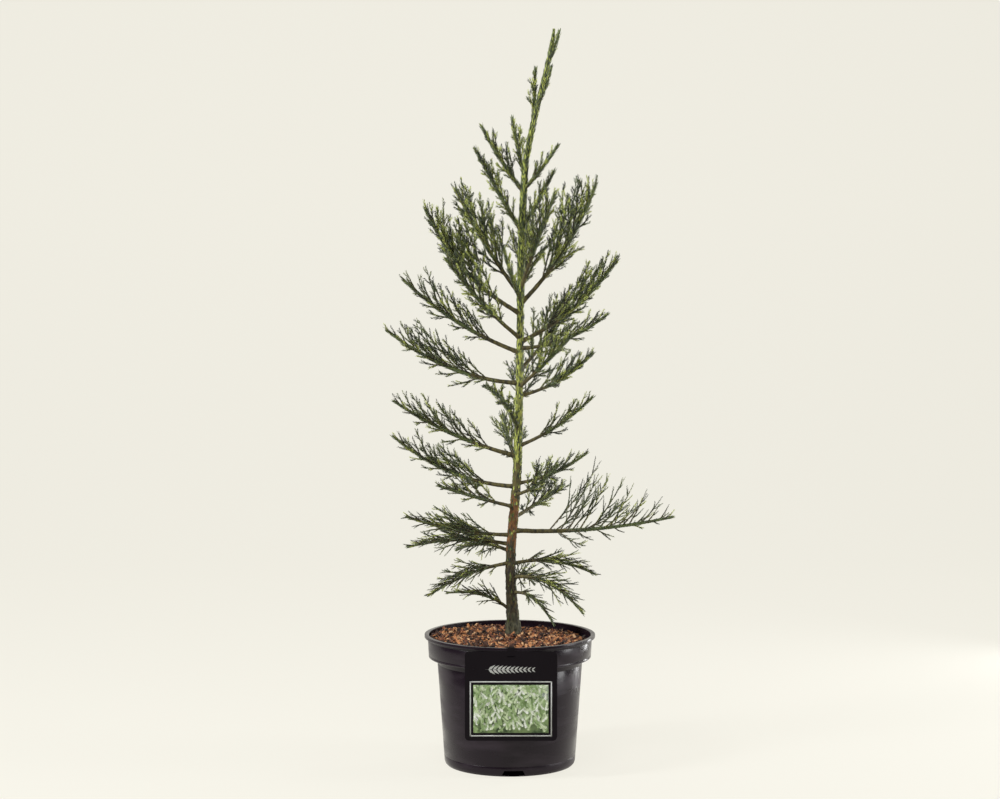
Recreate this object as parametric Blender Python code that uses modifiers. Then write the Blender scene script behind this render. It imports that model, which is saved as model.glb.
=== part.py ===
"""A young glaucous giant sequoia in a round nursery pot with a picture label.

Metres, Z up. The origin is the centre of the pot's underside. X runs to the right and the label faces -Y.
Every limb follows one formula from the named sizes in LIMBS.
Its foliage branches from it by a seeded rule.
"""
import math
import random
from collections import namedtuple

import bmesh
import bpy
import numpy as np

GAP = 0.0003
UP = np.array([0.0, 0.0, 1.0])

# Pot
POT_HEIGHT = 0.172
LIP_RADIUS = 0.1125
LIP_HEIGHT = 0.004
COLLAR_TOP_RADIUS = 0.1085
COLLAR_BOTTOM_RADIUS = 0.1070
COLLAR_BOTTOM = 0.142
WALL_TOP_RADIUS = 0.0960
WALL_BOTTOM_RADIUS = 0.0860
WALL = 0.0018
FLOOR_THICKNESS = 0.0025
FOOT_BEVEL = 0.0025
EDGE = 0.0006
LIP_EDGE = 0.0008
NECK_HEIGHT = 0.0030
MOUTH_EDGE = 0.0005
FOOT_WIDTH = 0.008
CHANNEL_HEIGHT = 0.004
CENTRE_PAD_RADIUS = 0.034
CHANNEL_SLOPE = 0.002
POT_STEPS = 44
NOTCH_BOTTOM_WIDTH = 0.032
NOTCH_TOP_WIDTH = 0.024
NOTCH_HEIGHT = 0.008
NOTCH_ANGLES = (-87.0, 33.0, 153.0)
NOTCH_REACH = 0.010
NOTCH_BELOW = 0.005
NOTCH_DEPTH = 0.0002
DRAIN_RADIUS = 0.006
DRAIN_RING = 0.055
DRAIN_COUNT = 6
DRAIN_TURN = 15.0
DRAIN_SIDES = 12

# Potting mix
MIX_FLOOR = 0.020
MIX_RINGS = 8
MIX_STEPS = 32
MIX_EDGE = 0.1645
MIX_LOWEST_EDGE = 0.158
MIX_TILT_X = -0.035
MIX_TILT_Y = -0.020
MIX_MOUND = 0.0065
MIX_MOUND_WIDTH = 0.045
MIX_BUMP = 0.0016
MIX_WAVES = ((151.0, 1.3), (173.0,), (97.0, -131.0, 0.6))
TRUNK_PAD_RADIUS = 0.015

# Label
LABEL_WIDTH = 0.1175
LABEL_HEIGHT = 0.1150
LABEL_BOTTOM = 0.0535
LABEL_THICKNESS = 0.0010
LABEL_CORNER = 0.0055
LABEL_X = 0.0010
LABEL_SLOT_WIDTH = 0.0100
LABEL_SLOT_HEIGHT = 0.0012
LABEL_SLOT_DROP = 0.0075
STRAP_WIDTH = 0.0100
STRAP_THICKNESS = 0.0008
STRAP_END = 0.1690
STRAP_GAP = 0.0009

# Trunk
TRUNK_FOOT = 0.1720
TRUNK_LINE = (
    (0.0045, 0.0, 0.172), (0.0010, 0.0, 0.270), (0.0095, 0.0, 0.385), (0.0130, 0.0, 0.530),
    (0.0150, 0.0, 0.680), (0.0205, 0.0, 0.790), (0.0345, 0.0, 0.860), (0.0490, 0.0, 0.918),
    (0.0570, 0.0, 0.963),
)
TRUNK_TIP_RADIUS = 0.0009
TRUNK_TAPER_RADIUS = 0.0072
FLARE_RADIUS = 0.0042
FLARE_HEIGHT = 0.018
FLARE_RIDGES = 5
FLARE_RIDGE_DEPTH = 0.10
TRUNK_SIDES = 12
TRUNK_RINGS = 22

# Limbs: azimuth is measured from +X towards +Y, out and climb reach from the trunk's line to the limb's tip,
# and rise is the slope that it leaves the trunk at.
Limb = namedtuple("Limb", "name height azimuth out climb rise habit")
LIMBS = (
    Limb("01_left", 0.200, 172, 0.088, 0.024, 45, "droop"),
    Limb("02_right_front", 0.226, 318, 0.074, -0.034, 15, "droop"),
    Limb("03_back_right", 0.238, 72, 0.105, -0.016, 18, "droop"),
    Limb("04_right_front", 0.246, 338, 0.102, -0.042, 14, "droop"),
    Limb("05_right", 0.264, 9, 0.114, -0.016, 14, "droop"),
    Limb("06_left_front", 0.266, 205, 0.118, -0.036, -4, "droop"),
    Limb("07_back_left", 0.280, 125, 0.130, -0.012, 12, "droop"),
    Limb("08_left", 0.290, 166, 0.143, -0.008, 10, "droop"),
    Limb("09_left_front", 0.303, 193, 0.142, 0.028, 2, "droop"),
    Limb("10_right", 0.309, 0, 0.212, 0.018, -3, "feather"),
    Limb("11_back_right", 0.325, 62, 0.150, 0.030, 10, "fan"),
    Limb("12_left_front", 0.340, 216, 0.122, 0.036, 14, "fan"),
    Limb("13_front_right", 0.356, 299, 0.108, 0.048, 12, "fan"),
    Limb("14_left", 0.367, 177, 0.163, 0.066, 2, "fan"),
    Limb("15_right", 0.371, 3, 0.093, 0.040, 8, "fan"),
    Limb("16_back", 0.392, 98, 0.135, 0.060, 18, "fan"),
    Limb("17_left", 0.407, 187, 0.163, 0.074, 14, "fan"),
    Limb("18_right", 0.420, 354, 0.098, 0.066, 22, "fan"),
    Limb("19_front_left", 0.438, 240, 0.090, 0.066, 62, "shoot"),
    Limb("20_back", 0.462, 88, 0.128, 0.068, 22, "fan"),
    Limb("21_right", 0.486, 14, 0.100, 0.055, 12, "plume"),
    Limb("22_front_right", 0.498, 307, 0.104, 0.068, 30, "plume"),
    Limb("23_left", 0.503, 180, 0.173, 0.069, 3, "fan"),
    Limb("24_back_right", 0.520, 58, 0.128, 0.082, 26, "plume"),
    Limb("25_left", 0.543, 185, 0.153, 0.096, 20, "fan"),
    Limb("26_right", 0.549, 340, 0.120, 0.046, 2, "fan"),
    Limb("27_right", 0.557, 6, 0.128, 0.107, 24, "plume"),
    Limb("28_front_left", 0.562, 219, 0.122, 0.104, 32, "plume"),
    Limb("29_left", 0.594, 188, 0.125, 0.137, 28, "plume"),
    Limb("30_back", 0.600, 84, 0.094, 0.120, 42, "plume"),
    Limb("31_right", 0.607, 2, 0.099, 0.158, 45, "plume"),
    Limb("32_back_left", 0.618, 140, 0.112, 0.140, 44, "plume"),
    Limb("33_front_right", 0.626, 304, 0.076, 0.122, 60, "plume"),
    Limb("34_front_left", 0.612, 246, 0.056, 0.068, 45, "shoot"),
    Limb("35_left", 0.700, 190, 0.062, 0.108, 58, "shoot"),
    Limb("36_right", 0.706, 24, 0.046, 0.074, 55, "shoot"),
    Limb("37_left", 0.752, 168, 0.056, 0.086, 52, "shoot"),
    Limb("38_back", 0.772, 118, 0.034, 0.078, 62, "shoot"),
    Limb("39_right", 0.756, 342, 0.046, 0.056, 45, "shoot"),
    Limb("40_leader", 0.842, 70, 0.008, 0.071, 88, "shoot"),
    Limb("41_leader", 0.866, 335, 0.019, 0.047, 60, "shoot"),
    Limb("42_leader", 0.922, 345, 0.014, 0.037, 60, "shoot"),
)
# bare is the part of a limb before its first branchlet and pitch the step from one branchlet to the next.
# share is a branchlet's length as a share of the limb that is left, and start how much of it the first ones get.
# angle and lift are how they leave the limb and bend upwards, and under how long the ones below it are.
Habit = namedtuple("Habit", "bare pitch share start angle lift under")
HABITS = {
    "droop": Habit(0.14, 0.0050, 0.55, 0.60, 26, -0.06, 0.80),
    "feather": Habit(0.20, 0.0050, 0.66, 0.85, 48, 0.40, 0.45),
    "fan": Habit(0.20, 0.0048, 0.60, 0.60, 30, 0.20, 0.55),
    "plume": Habit(0.20, 0.0045, 0.68, 0.90, 28, 0.26, 0.45),
    "shoot": Habit(0.14, 0.0046, 0.50, 0.75, 25, 0.20, 0.60),
}
LIMB_ROOT_RADIUS = 0.0016
LIMB_RADIUS_BY_LENGTH = 0.0075
LIMB_TIP_SHARE = 0.45
LIMB_SAMPLES = 16
BOUGH_MIN_LENGTH = 0.150
BOUGH_SHARE = 0.18
BOUGH_SIDES = 6
BOUGH_RINGS = 5
STEM_SIDES = 4
STEM_RINGS = 6

# Branchlets
GOLDEN_TURN = 137.5
ROLL_SHARE = 0.60
UNDER_EVERY = 5
TIP_SHARE = 0.10
START_SLOPE = 2.5
TRIALS = 4
SHRINK = 0.76
MIN_TWIG = 0.007
LENGTH_SPREAD = (0.62, 1.15)
UNDER_ROLL = (125.0, 175.0)
SIDE_LOSS = 0.30
ANGLE_SPREAD = 8.0
LIFT_SPREAD = (0.6, 1.4)
SPACE_MARGIN = 0.0020
BELOW_WEIGHT = 2.2
LIMB_MARGIN = 0.0045
TRUNK_MARGIN = 0.0030
TWIG_SIDES = 3
TWIG_ROOT_RADIUS = 0.0012
TWIG_LIMB_SHARE = 0.70
KEEP_EVERY = 2
SHOOT_PITCH = 0.0075
SHOOT_START = 0.22
SHOOT_SHARE = 0.50
SHOOT_LENGTH = 0.040
SHOOT_MIN = 0.005
SHOOT_ROOT_RADIUS = 0.0009
SHOOTS_KEPT = 1
SHOOT_SPREAD = (0.60, 1.15)
SHOOT_ANGLE = (24.0, 36.0)

Twig = namedtuple("Twig", "base heading length lift order place")
ENDS = np.array([0.0, 1.0])


# Scene and materials

def clear_scene():
    for obj in list(bpy.data.objects):
        bpy.data.objects.remove(obj, do_unlink=True)


def new_collection(name):
    collection = bpy.data.collections.new(name)
    bpy.context.scene.collection.children.link(collection)
    return collection


def principled(name, colour, roughness, metallic=0.0):
    material = bpy.data.materials.new(name)
    material.use_nodes = True
    shader = material.node_tree.nodes["Principled BSDF"]
    shader.inputs["Base Color"].default_value = (*colour, 1.0)
    shader.inputs["Roughness"].default_value = roughness
    shader.inputs["Metallic"].default_value = metallic
    material.diffuse_color = (*colour, 1.0)
    return material


def new_object(name, mesh, collection, material=None):
    obj = bpy.data.objects.new(name, mesh)
    collection.objects.link(obj)
    if material:
        obj.data.materials.append(material)
    return obj


def object_from_bmesh(name, bm, collection, material=None):
    bmesh.ops.recalc_face_normals(bm, faces=bm.faces)
    mesh = bpy.data.meshes.new(name)
    bm.to_mesh(mesh)
    bm.free()
    return new_object(name, mesh, collection, material)


def apply_modifiers(obj):
    depsgraph = bpy.context.evaluated_depsgraph_get()
    mesh = bpy.data.meshes.new_from_object(obj.evaluated_get(depsgraph))
    obj.modifiers.clear()
    obj.data = mesh


def cut(obj, cutter, solver="EXACT"):
    modifier = obj.modifiers.new("cut", "BOOLEAN")
    modifier.operation = "DIFFERENCE"
    modifier.solver = solver
    modifier.object = cutter
    apply_modifiers(obj)


def hide_cutter(obj):
    obj.hide_render = True
    obj.display_type = "WIRE"


def shade_smooth(obj, angle=40.0):
    obj.data.shade_smooth()
    obj.data.set_sharp_from_angle(angle=math.radians(angle))


def keep_largest_body(obj):
    """Drop loose scraps and the inner shells of sealed hollows."""
    bm = bmesh.new()
    bm.from_mesh(obj.data)
    bm.verts.ensure_lookup_table()
    waiting = set(bm.verts)
    bodies = []
    while waiting:
        front = [waiting.pop()]
        body = list(front)
        while front:
            vert = front.pop()
            for edge in vert.link_edges:
                other = edge.other_vert(vert)
                if other in waiting:
                    waiting.remove(other)
                    front.append(other)
                    body.append(other)
        bodies.append(body)
    bodies.sort(key=len)
    for body in bodies[:-1]:
        bmesh.ops.delete(bm, geom=body, context="VERTS")
    bm.to_mesh(obj.data)
    bm.free()


# Vectors

def unit(vector):
    return vector / np.linalg.norm(vector)


def compass(azimuth):
    angle = math.radians(azimuth)
    return np.array([math.cos(angle), math.sin(angle), 0.0])


def across(axis):
    """A level direction square to the axis."""
    side = np.cross(axis, UP)
    if np.linalg.norm(side) < 1e-3:
        side = np.array([1.0, 0.0, 0.0])
    return unit(side)


# Pot, potting mix and label

def spun(name, profile, steps, collection, material=None):
    """Turn a profile of (radius, height) points about Z. It runs top to bottom on its outer side."""
    bm = bmesh.new()
    verts = [bm.verts.new((radius, 0.0, height)) for radius, height in profile]
    for upper, lower in zip(verts, verts[1:]):
        bm.edges.new((upper, lower))
    mesh = bpy.data.meshes.new(name)
    bm.to_mesh(mesh)
    bm.free()
    obj = new_object(name, mesh, collection, material)
    screw = obj.modifiers.new("turn", "SCREW")
    screw.steps = steps
    screw.render_steps = steps
    screw.use_merge_vertices = True
    screw.merge_threshold = 0.00005
    apply_modifiers(obj)
    return obj


def wall_radius(height):
    """Outer radius of the tapered wall below the collar."""
    share = height / COLLAR_BOTTOM
    return WALL_BOTTOM_RADIUS + (WALL_TOP_RADIUS - WALL_BOTTOM_RADIUS) * share


def inner_radius(height):
    """Inner radius of the pot, with the collar's wide mouth."""
    if height >= COLLAR_BOTTOM + WALL:
        share = (height - COLLAR_BOTTOM) / (POT_HEIGHT - COLLAR_BOTTOM)
        return COLLAR_BOTTOM_RADIUS + (COLLAR_TOP_RADIUS - COLLAR_BOTTOM_RADIUS) * share - WALL
    return wall_radius(height) - WALL


def build_pot(collection, cutters, material):
    lip_bottom = POT_HEIGHT - LIP_HEIGHT
    foot_inner = WALL_BOTTOM_RADIUS - FOOT_WIDTH
    floor_top = CHANNEL_HEIGHT + FLOOR_THICKNESS
    profile = (
        (0.0, floor_top),
        (wall_radius(floor_top) - WALL - FOOT_BEVEL, floor_top),
        (wall_radius(floor_top) - WALL, floor_top + FOOT_BEVEL),
        (inner_radius(COLLAR_BOTTOM), COLLAR_BOTTOM),
        (COLLAR_BOTTOM_RADIUS - WALL, COLLAR_BOTTOM + WALL),
        (COLLAR_TOP_RADIUS - WALL, POT_HEIGHT - MOUTH_EDGE),
        (COLLAR_TOP_RADIUS - WALL + MOUTH_EDGE, POT_HEIGHT),
        (LIP_RADIUS - LIP_EDGE, POT_HEIGHT),
        (LIP_RADIUS, POT_HEIGHT - LIP_EDGE),
        (LIP_RADIUS, lip_bottom + EDGE),
        (LIP_RADIUS - EDGE, lip_bottom),
        (COLLAR_TOP_RADIUS, lip_bottom),
        (COLLAR_BOTTOM_RADIUS, COLLAR_BOTTOM + EDGE),
        (COLLAR_BOTTOM_RADIUS - EDGE, COLLAR_BOTTOM),
        (WALL_TOP_RADIUS + EDGE, COLLAR_BOTTOM - 2.0 * EDGE),
        (wall_radius(COLLAR_BOTTOM - NECK_HEIGHT), COLLAR_BOTTOM - NECK_HEIGHT),
        (wall_radius(2.0 * FOOT_BEVEL), 2.0 * FOOT_BEVEL),
        (WALL_BOTTOM_RADIUS - EDGE, 0.8 * FOOT_BEVEL),
        (WALL_BOTTOM_RADIUS - FOOT_BEVEL, 0.0),
        (foot_inner, 0.0),
        (foot_inner - CHANNEL_SLOPE, CHANNEL_HEIGHT),
        (CENTRE_PAD_RADIUS + CHANNEL_SLOPE, CHANNEL_HEIGHT),
        (CENTRE_PAD_RADIUS, 0.0),
        (0.0, 0.0),
    )
    pot = spun("pot", profile, POT_STEPS, collection, material)
    for index, angle in enumerate(NOTCH_ANGLES):
        cut(pot, notch_cutter(f"notch_{index}", angle, cutters))
    for index in range(DRAIN_COUNT):
        cut(pot, drain_cutter(f"drain_{index}", index * 360.0 / DRAIN_COUNT + DRAIN_TURN, cutters))
    shade_smooth(pot)
    return pot


def notch_cutter(name, angle, cutters):
    """A trapezoid block across the foot ring."""
    outer = WALL_BOTTOM_RADIUS + NOTCH_REACH
    inner = WALL_BOTTOM_RADIUS - WALL - NOTCH_DEPTH
    slope = (NOTCH_BOTTOM_WIDTH - NOTCH_TOP_WIDTH) / (2.0 * NOTCH_HEIGHT)
    bm = bmesh.new()
    rings = []
    for radius in (inner, outer):
        corners = []
        heights = (-NOTCH_BELOW, -NOTCH_BELOW, NOTCH_HEIGHT, NOTCH_HEIGHT)
        for side, height in zip((-1, 1, 1, -1), heights):
            half = NOTCH_BOTTOM_WIDTH / 2.0 - slope * height
            corners.append(bm.verts.new((radius, side * half, height)))
        rings.append(corners)
    for corner in range(4):
        bm.faces.new((rings[0][corner - 1], rings[0][corner], rings[1][corner], rings[1][corner - 1]))
    bm.faces.new(rings[0])
    bm.faces.new(rings[1])
    cutter = object_from_bmesh(name, bm, cutters)
    cutter.rotation_euler[2] = math.radians(angle)
    hide_cutter(cutter)
    bpy.context.view_layer.update()
    return cutter


def drain_cutter(name, angle, cutters):
    bm = bmesh.new()
    bmesh.ops.create_cone(bm, cap_ends=True, segments=DRAIN_SIDES, radius1=DRAIN_RADIUS, radius2=DRAIN_RADIUS,
                          depth=4 * FLOOR_THICKNESS)
    cutter = object_from_bmesh(name, bm, cutters)
    cutter.location = (*(compass(angle)[:2] * DRAIN_RING), CHANNEL_HEIGHT + FLOOR_THICKNESS / 2.0)
    hide_cutter(cutter)
    bpy.context.view_layer.update()
    return cutter


def mix_radius(height):
    """Radius that clears the flats of the pot's inner wall."""
    return inner_radius(height) * math.cos(math.pi / POT_STEPS) - GAP


def mix_height(x, y):
    """Height of the heaped mix: higher at the front left, mounded round the trunk and lumpy."""
    foot = trunk_point(TRUNK_FOOT)
    away = math.hypot(x - foot[0], y - foot[1])
    lumps = MIX_BUMP * (math.sin(MIX_WAVES[0][0] * x + MIX_WAVES[0][1]) * math.sin(MIX_WAVES[1][0] * y)
                        + math.sin(MIX_WAVES[2][0] * x + MIX_WAVES[2][1] * y + MIX_WAVES[2][2]))
    heap = MIX_EDGE + MIX_TILT_X * x + MIX_TILT_Y * y + MIX_MOUND * math.exp(-(away / MIX_MOUND_WIDTH) ** 2)
    blend = min(1.0, max(0.0, (away - TRUNK_PAD_RADIUS) / TRUNK_PAD_RADIUS))
    return (1.0 - blend) * (TRUNK_FOOT - GAP) + blend * (heap + lumps)


def build_mix(collection, material):
    """Rings from under the trunk out to the pot's wall, then down it to the mix's own flat floor."""
    foot = trunk_point(TRUNK_FOOT)
    bm = bmesh.new()
    edge_radius = mix_radius(MIX_LOWEST_EDGE)
    rings = []
    for ring in range(1, MIX_RINGS + 1):
        share = ring / MIX_RINGS
        verts = []
        for step in range(MIX_STEPS):
            turn = compass(step * 360.0 / MIX_STEPS)
            centre = foot[:2] * (1.0 - share)
            x, y = centre + turn[:2] * max(TRUNK_PAD_RADIUS * 0.95, edge_radius * share)
            verts.append(bm.verts.new((x, y, mix_height(x, y))))
        rings.append(verts)
    below = (
        (mix_radius(COLLAR_BOTTOM + WALL), COLLAR_BOTTOM + WALL + 2 * GAP),
        (mix_radius(COLLAR_BOTTOM), COLLAR_BOTTOM + 2 * GAP),
        (mix_radius(MIX_FLOOR), MIX_FLOOR),
    )
    for radius, height in below:
        rings.append([bm.verts.new((*(compass(step * 360.0 / MIX_STEPS)[:2] * radius), height))
                      for step in range(MIX_STEPS)])
    for inner, outer in zip(rings, rings[1:]):
        for step in range(MIX_STEPS):
            bm.faces.new((inner[step - 1], inner[step], outer[step], outer[step - 1]))
    bm.faces.new(rings[0])
    bm.faces.new(rings[-1])
    mix = object_from_bmesh("potting_mix", bm, collection, material)
    shade_smooth(mix, 60.0)
    return mix


def block(name, low, high, collection, material=None):
    """Box between two corners."""
    bm = bmesh.new()
    bmesh.ops.create_cube(bm, size=1.0)
    size = [top - bottom for bottom, top in zip(low, high)]
    centre = [(top + bottom) / 2.0 for bottom, top in zip(low, high)]
    bmesh.ops.scale(bm, verts=bm.verts, vec=size)
    bmesh.ops.translate(bm, verts=bm.verts, vec=centre)
    return object_from_bmesh(name, bm, collection, material)


def join(obj, other):
    union = obj.modifiers.new("join", "BOOLEAN")
    union.operation = "UNION"
    union.solver = "EXACT"
    union.object = other
    apply_modifiers(obj)
    bpy.data.objects.remove(other, do_unlink=True)


def build_label(collection, cutters, material):
    """A flat card with round corners that hangs from a narrow strap over the pot's rim."""
    back = -(LIP_RADIUS + GAP)
    front = back - LABEL_THICKNESS
    top = LABEL_BOTTOM + LABEL_HEIGHT
    left, right = LABEL_X - LABEL_WIDTH / 2.0, LABEL_X + LABEL_WIDTH / 2.0
    label = block("label", (left, front, LABEL_BOTTOM), (right, back, top), collection, material)
    bm = bmesh.new()
    bm.from_mesh(label.data)
    half_thick = LABEL_THICKNESS / 2.0
    corners = [edge for edge in bm.edges if abs(edge.verts[0].co.y - edge.verts[1].co.y) > half_thick]
    bmesh.ops.bevel(bm, geom=corners, offset=LABEL_CORNER, segments=5, profile=0.5, affect="EDGES")
    bm.to_mesh(label.data)
    bm.free()
    near, far = LABEL_X - STRAP_WIDTH / 2.0, LABEL_X + STRAP_WIDTH / 2.0
    over = POT_HEIGHT + GAP
    inside = -(inner_radius(POT_HEIGHT) * math.cos(math.pi / POT_STEPS) - STRAP_GAP)
    join(label, block("rise", (near, back - STRAP_THICKNESS, top - LABEL_CORNER),
                      (far, back, over + STRAP_THICKNESS), collection))
    join(label, block("cross", (near, back - STRAP_THICKNESS, over),
                      (far, inside + STRAP_THICKNESS, over + STRAP_THICKNESS), collection))
    join(label, block("drop", (near, inside, STRAP_END),
                      (far, inside + STRAP_THICKNESS, over + STRAP_THICKNESS), collection))
    slot = top - LABEL_SLOT_DROP
    half = LABEL_SLOT_WIDTH / 2.0
    cutter = block("label_slot", (LABEL_X - half, front - GAP, slot),
                   (LABEL_X + half, back + GAP, slot + LABEL_SLOT_HEIGHT), cutters)
    hide_cutter(cutter)
    cut(label, cutter)
    return label


# Trunk and limb lines

def trunk_point(height):
    """Point of the trunk's smooth centre line at a height."""
    heights = [point[2] for point in TRUNK_LINE]
    last = len(TRUNK_LINE) - 1
    span = max(0, min(last - 1, int(np.searchsorted(heights, height)) - 1))
    before, start, end, after = (np.array(TRUNK_LINE[max(0, min(last, span + k))]) for k in (-1, 0, 1, 2))
    t = (height - start[2]) / (end[2] - start[2])
    curve = 2 * start + (end - before) * t + (2 * before - 5 * start + 4 * end - after) * t ** 2
    curve = 0.5 * (curve + (3 * start - before - 3 * end + after) * t ** 3)
    curve[2] = height
    return curve


def trunk_radius(height):
    share = (height - TRUNK_FOOT) / (TRUNK_LINE[-1][2] - TRUNK_FOOT)
    flare = FLARE_RADIUS * math.exp(-(height - TRUNK_FOOT) / FLARE_HEIGHT)
    return TRUNK_TIP_RADIUS + (TRUNK_TAPER_RADIUS - TRUNK_TIP_RADIUS) * (1.0 - share) + flare


def limb_point(limb, t):
    """Point or points of a limb's line, an arc from the trunk's centre line at t = 0 to the tip at t = 1."""
    outward = compass(limb.azimuth)
    rise = math.radians(limb.rise)
    chord = limb.out * outward + limb.climb * UP
    bend = 0.5 * np.linalg.norm(chord) * (math.cos(rise) * outward + math.sin(rise) * UP)
    t = np.asarray(t, dtype=float)[..., None]
    return trunk_point(limb.height) + 2.0 * t * (1.0 - t) * bend + t * t * chord


def limb_axis(limb, t):
    step = 0.001
    return unit(limb_point(limb, t + step) - limb_point(limb, t - step))


def limb_length(limb):
    line = limb_point(limb, np.linspace(0.0, 1.0, LIMB_SAMPLES))
    return float(np.linalg.norm(np.diff(line, axis=0), axis=1).sum())


def limb_radius(limb, t):
    root = LIMB_ROOT_RADIUS + LIMB_RADIUS_BY_LENGTH * LIMB_LENGTHS[limb.name]
    return root * (1.0 - (1.0 - LIMB_TIP_SHARE) * t)


def reach_of_twigs(limb):
    """Length that a branchlet at the limb's root would have."""
    return HABITS[limb.habit].share * LIMB_LENGTHS[limb.name]


LIMB_LENGTHS = {limb.name: limb_length(limb) for limb in LIMBS}
LIMB_LINES = {limb.name: limb_point(limb, np.linspace(0.06, 1.0, LIMB_SAMPLES)) for limb in LIMBS}
TRUNK_HEIGHTS = np.linspace(TRUNK_FOOT, TRUNK_LINE[-1][2], 90)
TRUNK_CENTRES = np.array([trunk_point(height) for height in TRUNK_HEIGHTS])
TRUNK_RADII = np.array([trunk_radius(height) for height in TRUNK_HEIGHTS])


# Branching rule

def distances(points, line):
    """Distance of each point to a line, plain and with the part below the line counted longer."""
    offset = points[:, None, :] - line[None, :, :]
    plain = np.linalg.norm(offset, axis=2).min(axis=1)
    offset[..., 2] *= np.where(offset[..., 2] < 0.0, BELOW_WEIGHT, 1.0)
    return plain, np.linalg.norm(offset, axis=2).min(axis=1)


def in_own_space(limb, points):
    """True where every point is nearer to its own limb than to any other, and clear of the trunk.

    Nearness is weighed by how far each limb's branchlets reach, and favours the limb below a point.
    """
    trunk = np.linalg.norm(points[:, None, :] - TRUNK_CENTRES[None, :, :], axis=2) - TRUNK_RADII[None, :]
    if trunk.min() < TRUNK_MARGIN:
        return False
    own = (distances(points, LIMB_LINES[limb.name])[1] + SPACE_MARGIN) / reach_of_twigs(limb)
    for other in LIMBS:
        if other.name == limb.name:
            continue
        plain, weighed = distances(points, LIMB_LINES[other.name])
        if plain.min() < LIMB_MARGIN or (weighed - SPACE_MARGIN < own * reach_of_twigs(other)).any():
            return False
    return True


def twig_point(twig, t):
    t = np.asarray(t, dtype=float)[..., None]
    return twig.base + twig.length * (t * twig.heading + 0.5 * twig.lift * t * t * UP)


def branch_off(axis, angle, roll):
    """Direction at an angle to the axis, rolled round it from its upper side."""
    side = across(axis)
    top = np.cross(side, axis)
    outward = math.cos(roll) * top + math.sin(roll) * side
    return unit(math.cos(angle) * axis + math.sin(angle) * outward)


def branchlet(limb, habit, index, count):
    """The limb's branchlet of that index, shortened until it keeps to its space, or None."""
    chance = random.Random(f"{limb.name} {index}")
    t = habit.bare + (1.0 - habit.bare) * (index + 0.5 * chance.random()) / count
    turn = index * GOLDEN_TURN % 360.0 - 180.0
    length = reach_of_twigs(limb) * (1.0 + TIP_SHARE - t) * chance.uniform(*LENGTH_SPREAD)
    length *= min(1.0, habit.start + (t - habit.bare) * START_SLOPE)
    if index % UNDER_EVERY == UNDER_EVERY - 2:
        roll = chance.choice((-1, 1)) * chance.uniform(*UNDER_ROLL)
        length *= habit.under
    else:
        roll = turn * ROLL_SHARE
        length *= 1.0 - SIDE_LOSS * abs(turn) / 180.0
    angle = habit.angle * (1.15 - 0.35 * t) + chance.uniform(-ANGLE_SPREAD, ANGLE_SPREAD)
    lift = habit.lift * chance.uniform(*LIFT_SPREAD)
    heading = branch_off(limb_axis(limb, t), math.radians(angle), math.radians(roll))
    for _ in range(TRIALS):
        twig = Twig(limb_point(limb, t), heading, length, lift, index, t)
        if length < MIN_TWIG:
            return None
        if in_own_space(limb, twig_point(twig, np.array([0.25, 0.5, 0.75, 1.0]))):
            return twig
        length *= SHRINK
    return None


def branchlets(limb, every=1):
    habit = HABITS[limb.habit]
    count = max(4, int(LIMB_LENGTHS[limb.name] * (1.0 - habit.bare) / habit.pitch))
    grown = (branchlet(limb, habit, index, count) for index in range(0, count, every))
    return [twig for twig in grown if twig]


def side_shoots(limb, twig):
    """Side shoots of a branchlet, alternating round it, as far as they keep to the limb's space."""
    chance = random.Random(f"{limb.name} {twig.order} side")
    count = int(twig.length / SHOOT_PITCH)
    shoots = []
    for index in range(1, count):
        t = (index + 0.3 * chance.random()) / count
        length = min(SHOOT_SHARE * twig.length * (1.1 - t), SHOOT_LENGTH) * chance.uniform(*SHOOT_SPREAD)
        angle = math.radians(chance.uniform(*SHOOT_ANGLE))
        if t < SHOOT_START or length < SHOOT_MIN:
            continue
        axis = unit(twig.heading + twig.lift * t * UP)
        heading = branch_off(axis, angle, math.radians(index * GOLDEN_TURN))
        shoot = Twig(twig_point(twig, t), heading, length, twig.lift, index, t)
        if in_own_space(limb, twig_point(shoot, np.array([0.5, 1.0]))):
            shoots.append(shoot)
    return shoots


# Solids of the plant

def loft(name, points, radii, sides, collection, material=None):
    """Tube through the points with flat caps. A last radius of 0 makes a pointed tip."""
    bm = bmesh.new()
    side = across(unit(points[1] - points[0]))
    rings = []
    last = len(points) - 1
    for index, point in enumerate(points):
        axis = unit(points[min(index + 1, last)] - points[max(index - 1, 0)])
        side = unit(side - np.dot(side, axis) * axis)
        other = np.cross(axis, side)
        if radii[index] == 0.0:
            rings.append([bm.verts.new(point)])
            continue
        ring = []
        for corner in range(sides):
            turn = 2.0 * math.pi * corner / sides
            ring.append(bm.verts.new(point + radii[index] * (math.cos(turn) * side + math.sin(turn) * other)))
        rings.append(ring)
    for low, high in zip(rings, rings[1:]):
        for corner in range(sides):
            if len(high) == 1:
                bm.faces.new((low[corner - 1], low[corner], high[0]))
            else:
                bm.faces.new((low[corner - 1], low[corner], high[corner], high[corner - 1]))
    bm.faces.new(rings[0])
    if len(rings[-1]) > 1:
        bm.faces.new(rings[-1])
    return object_from_bmesh(name, bm, collection, material)


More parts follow.
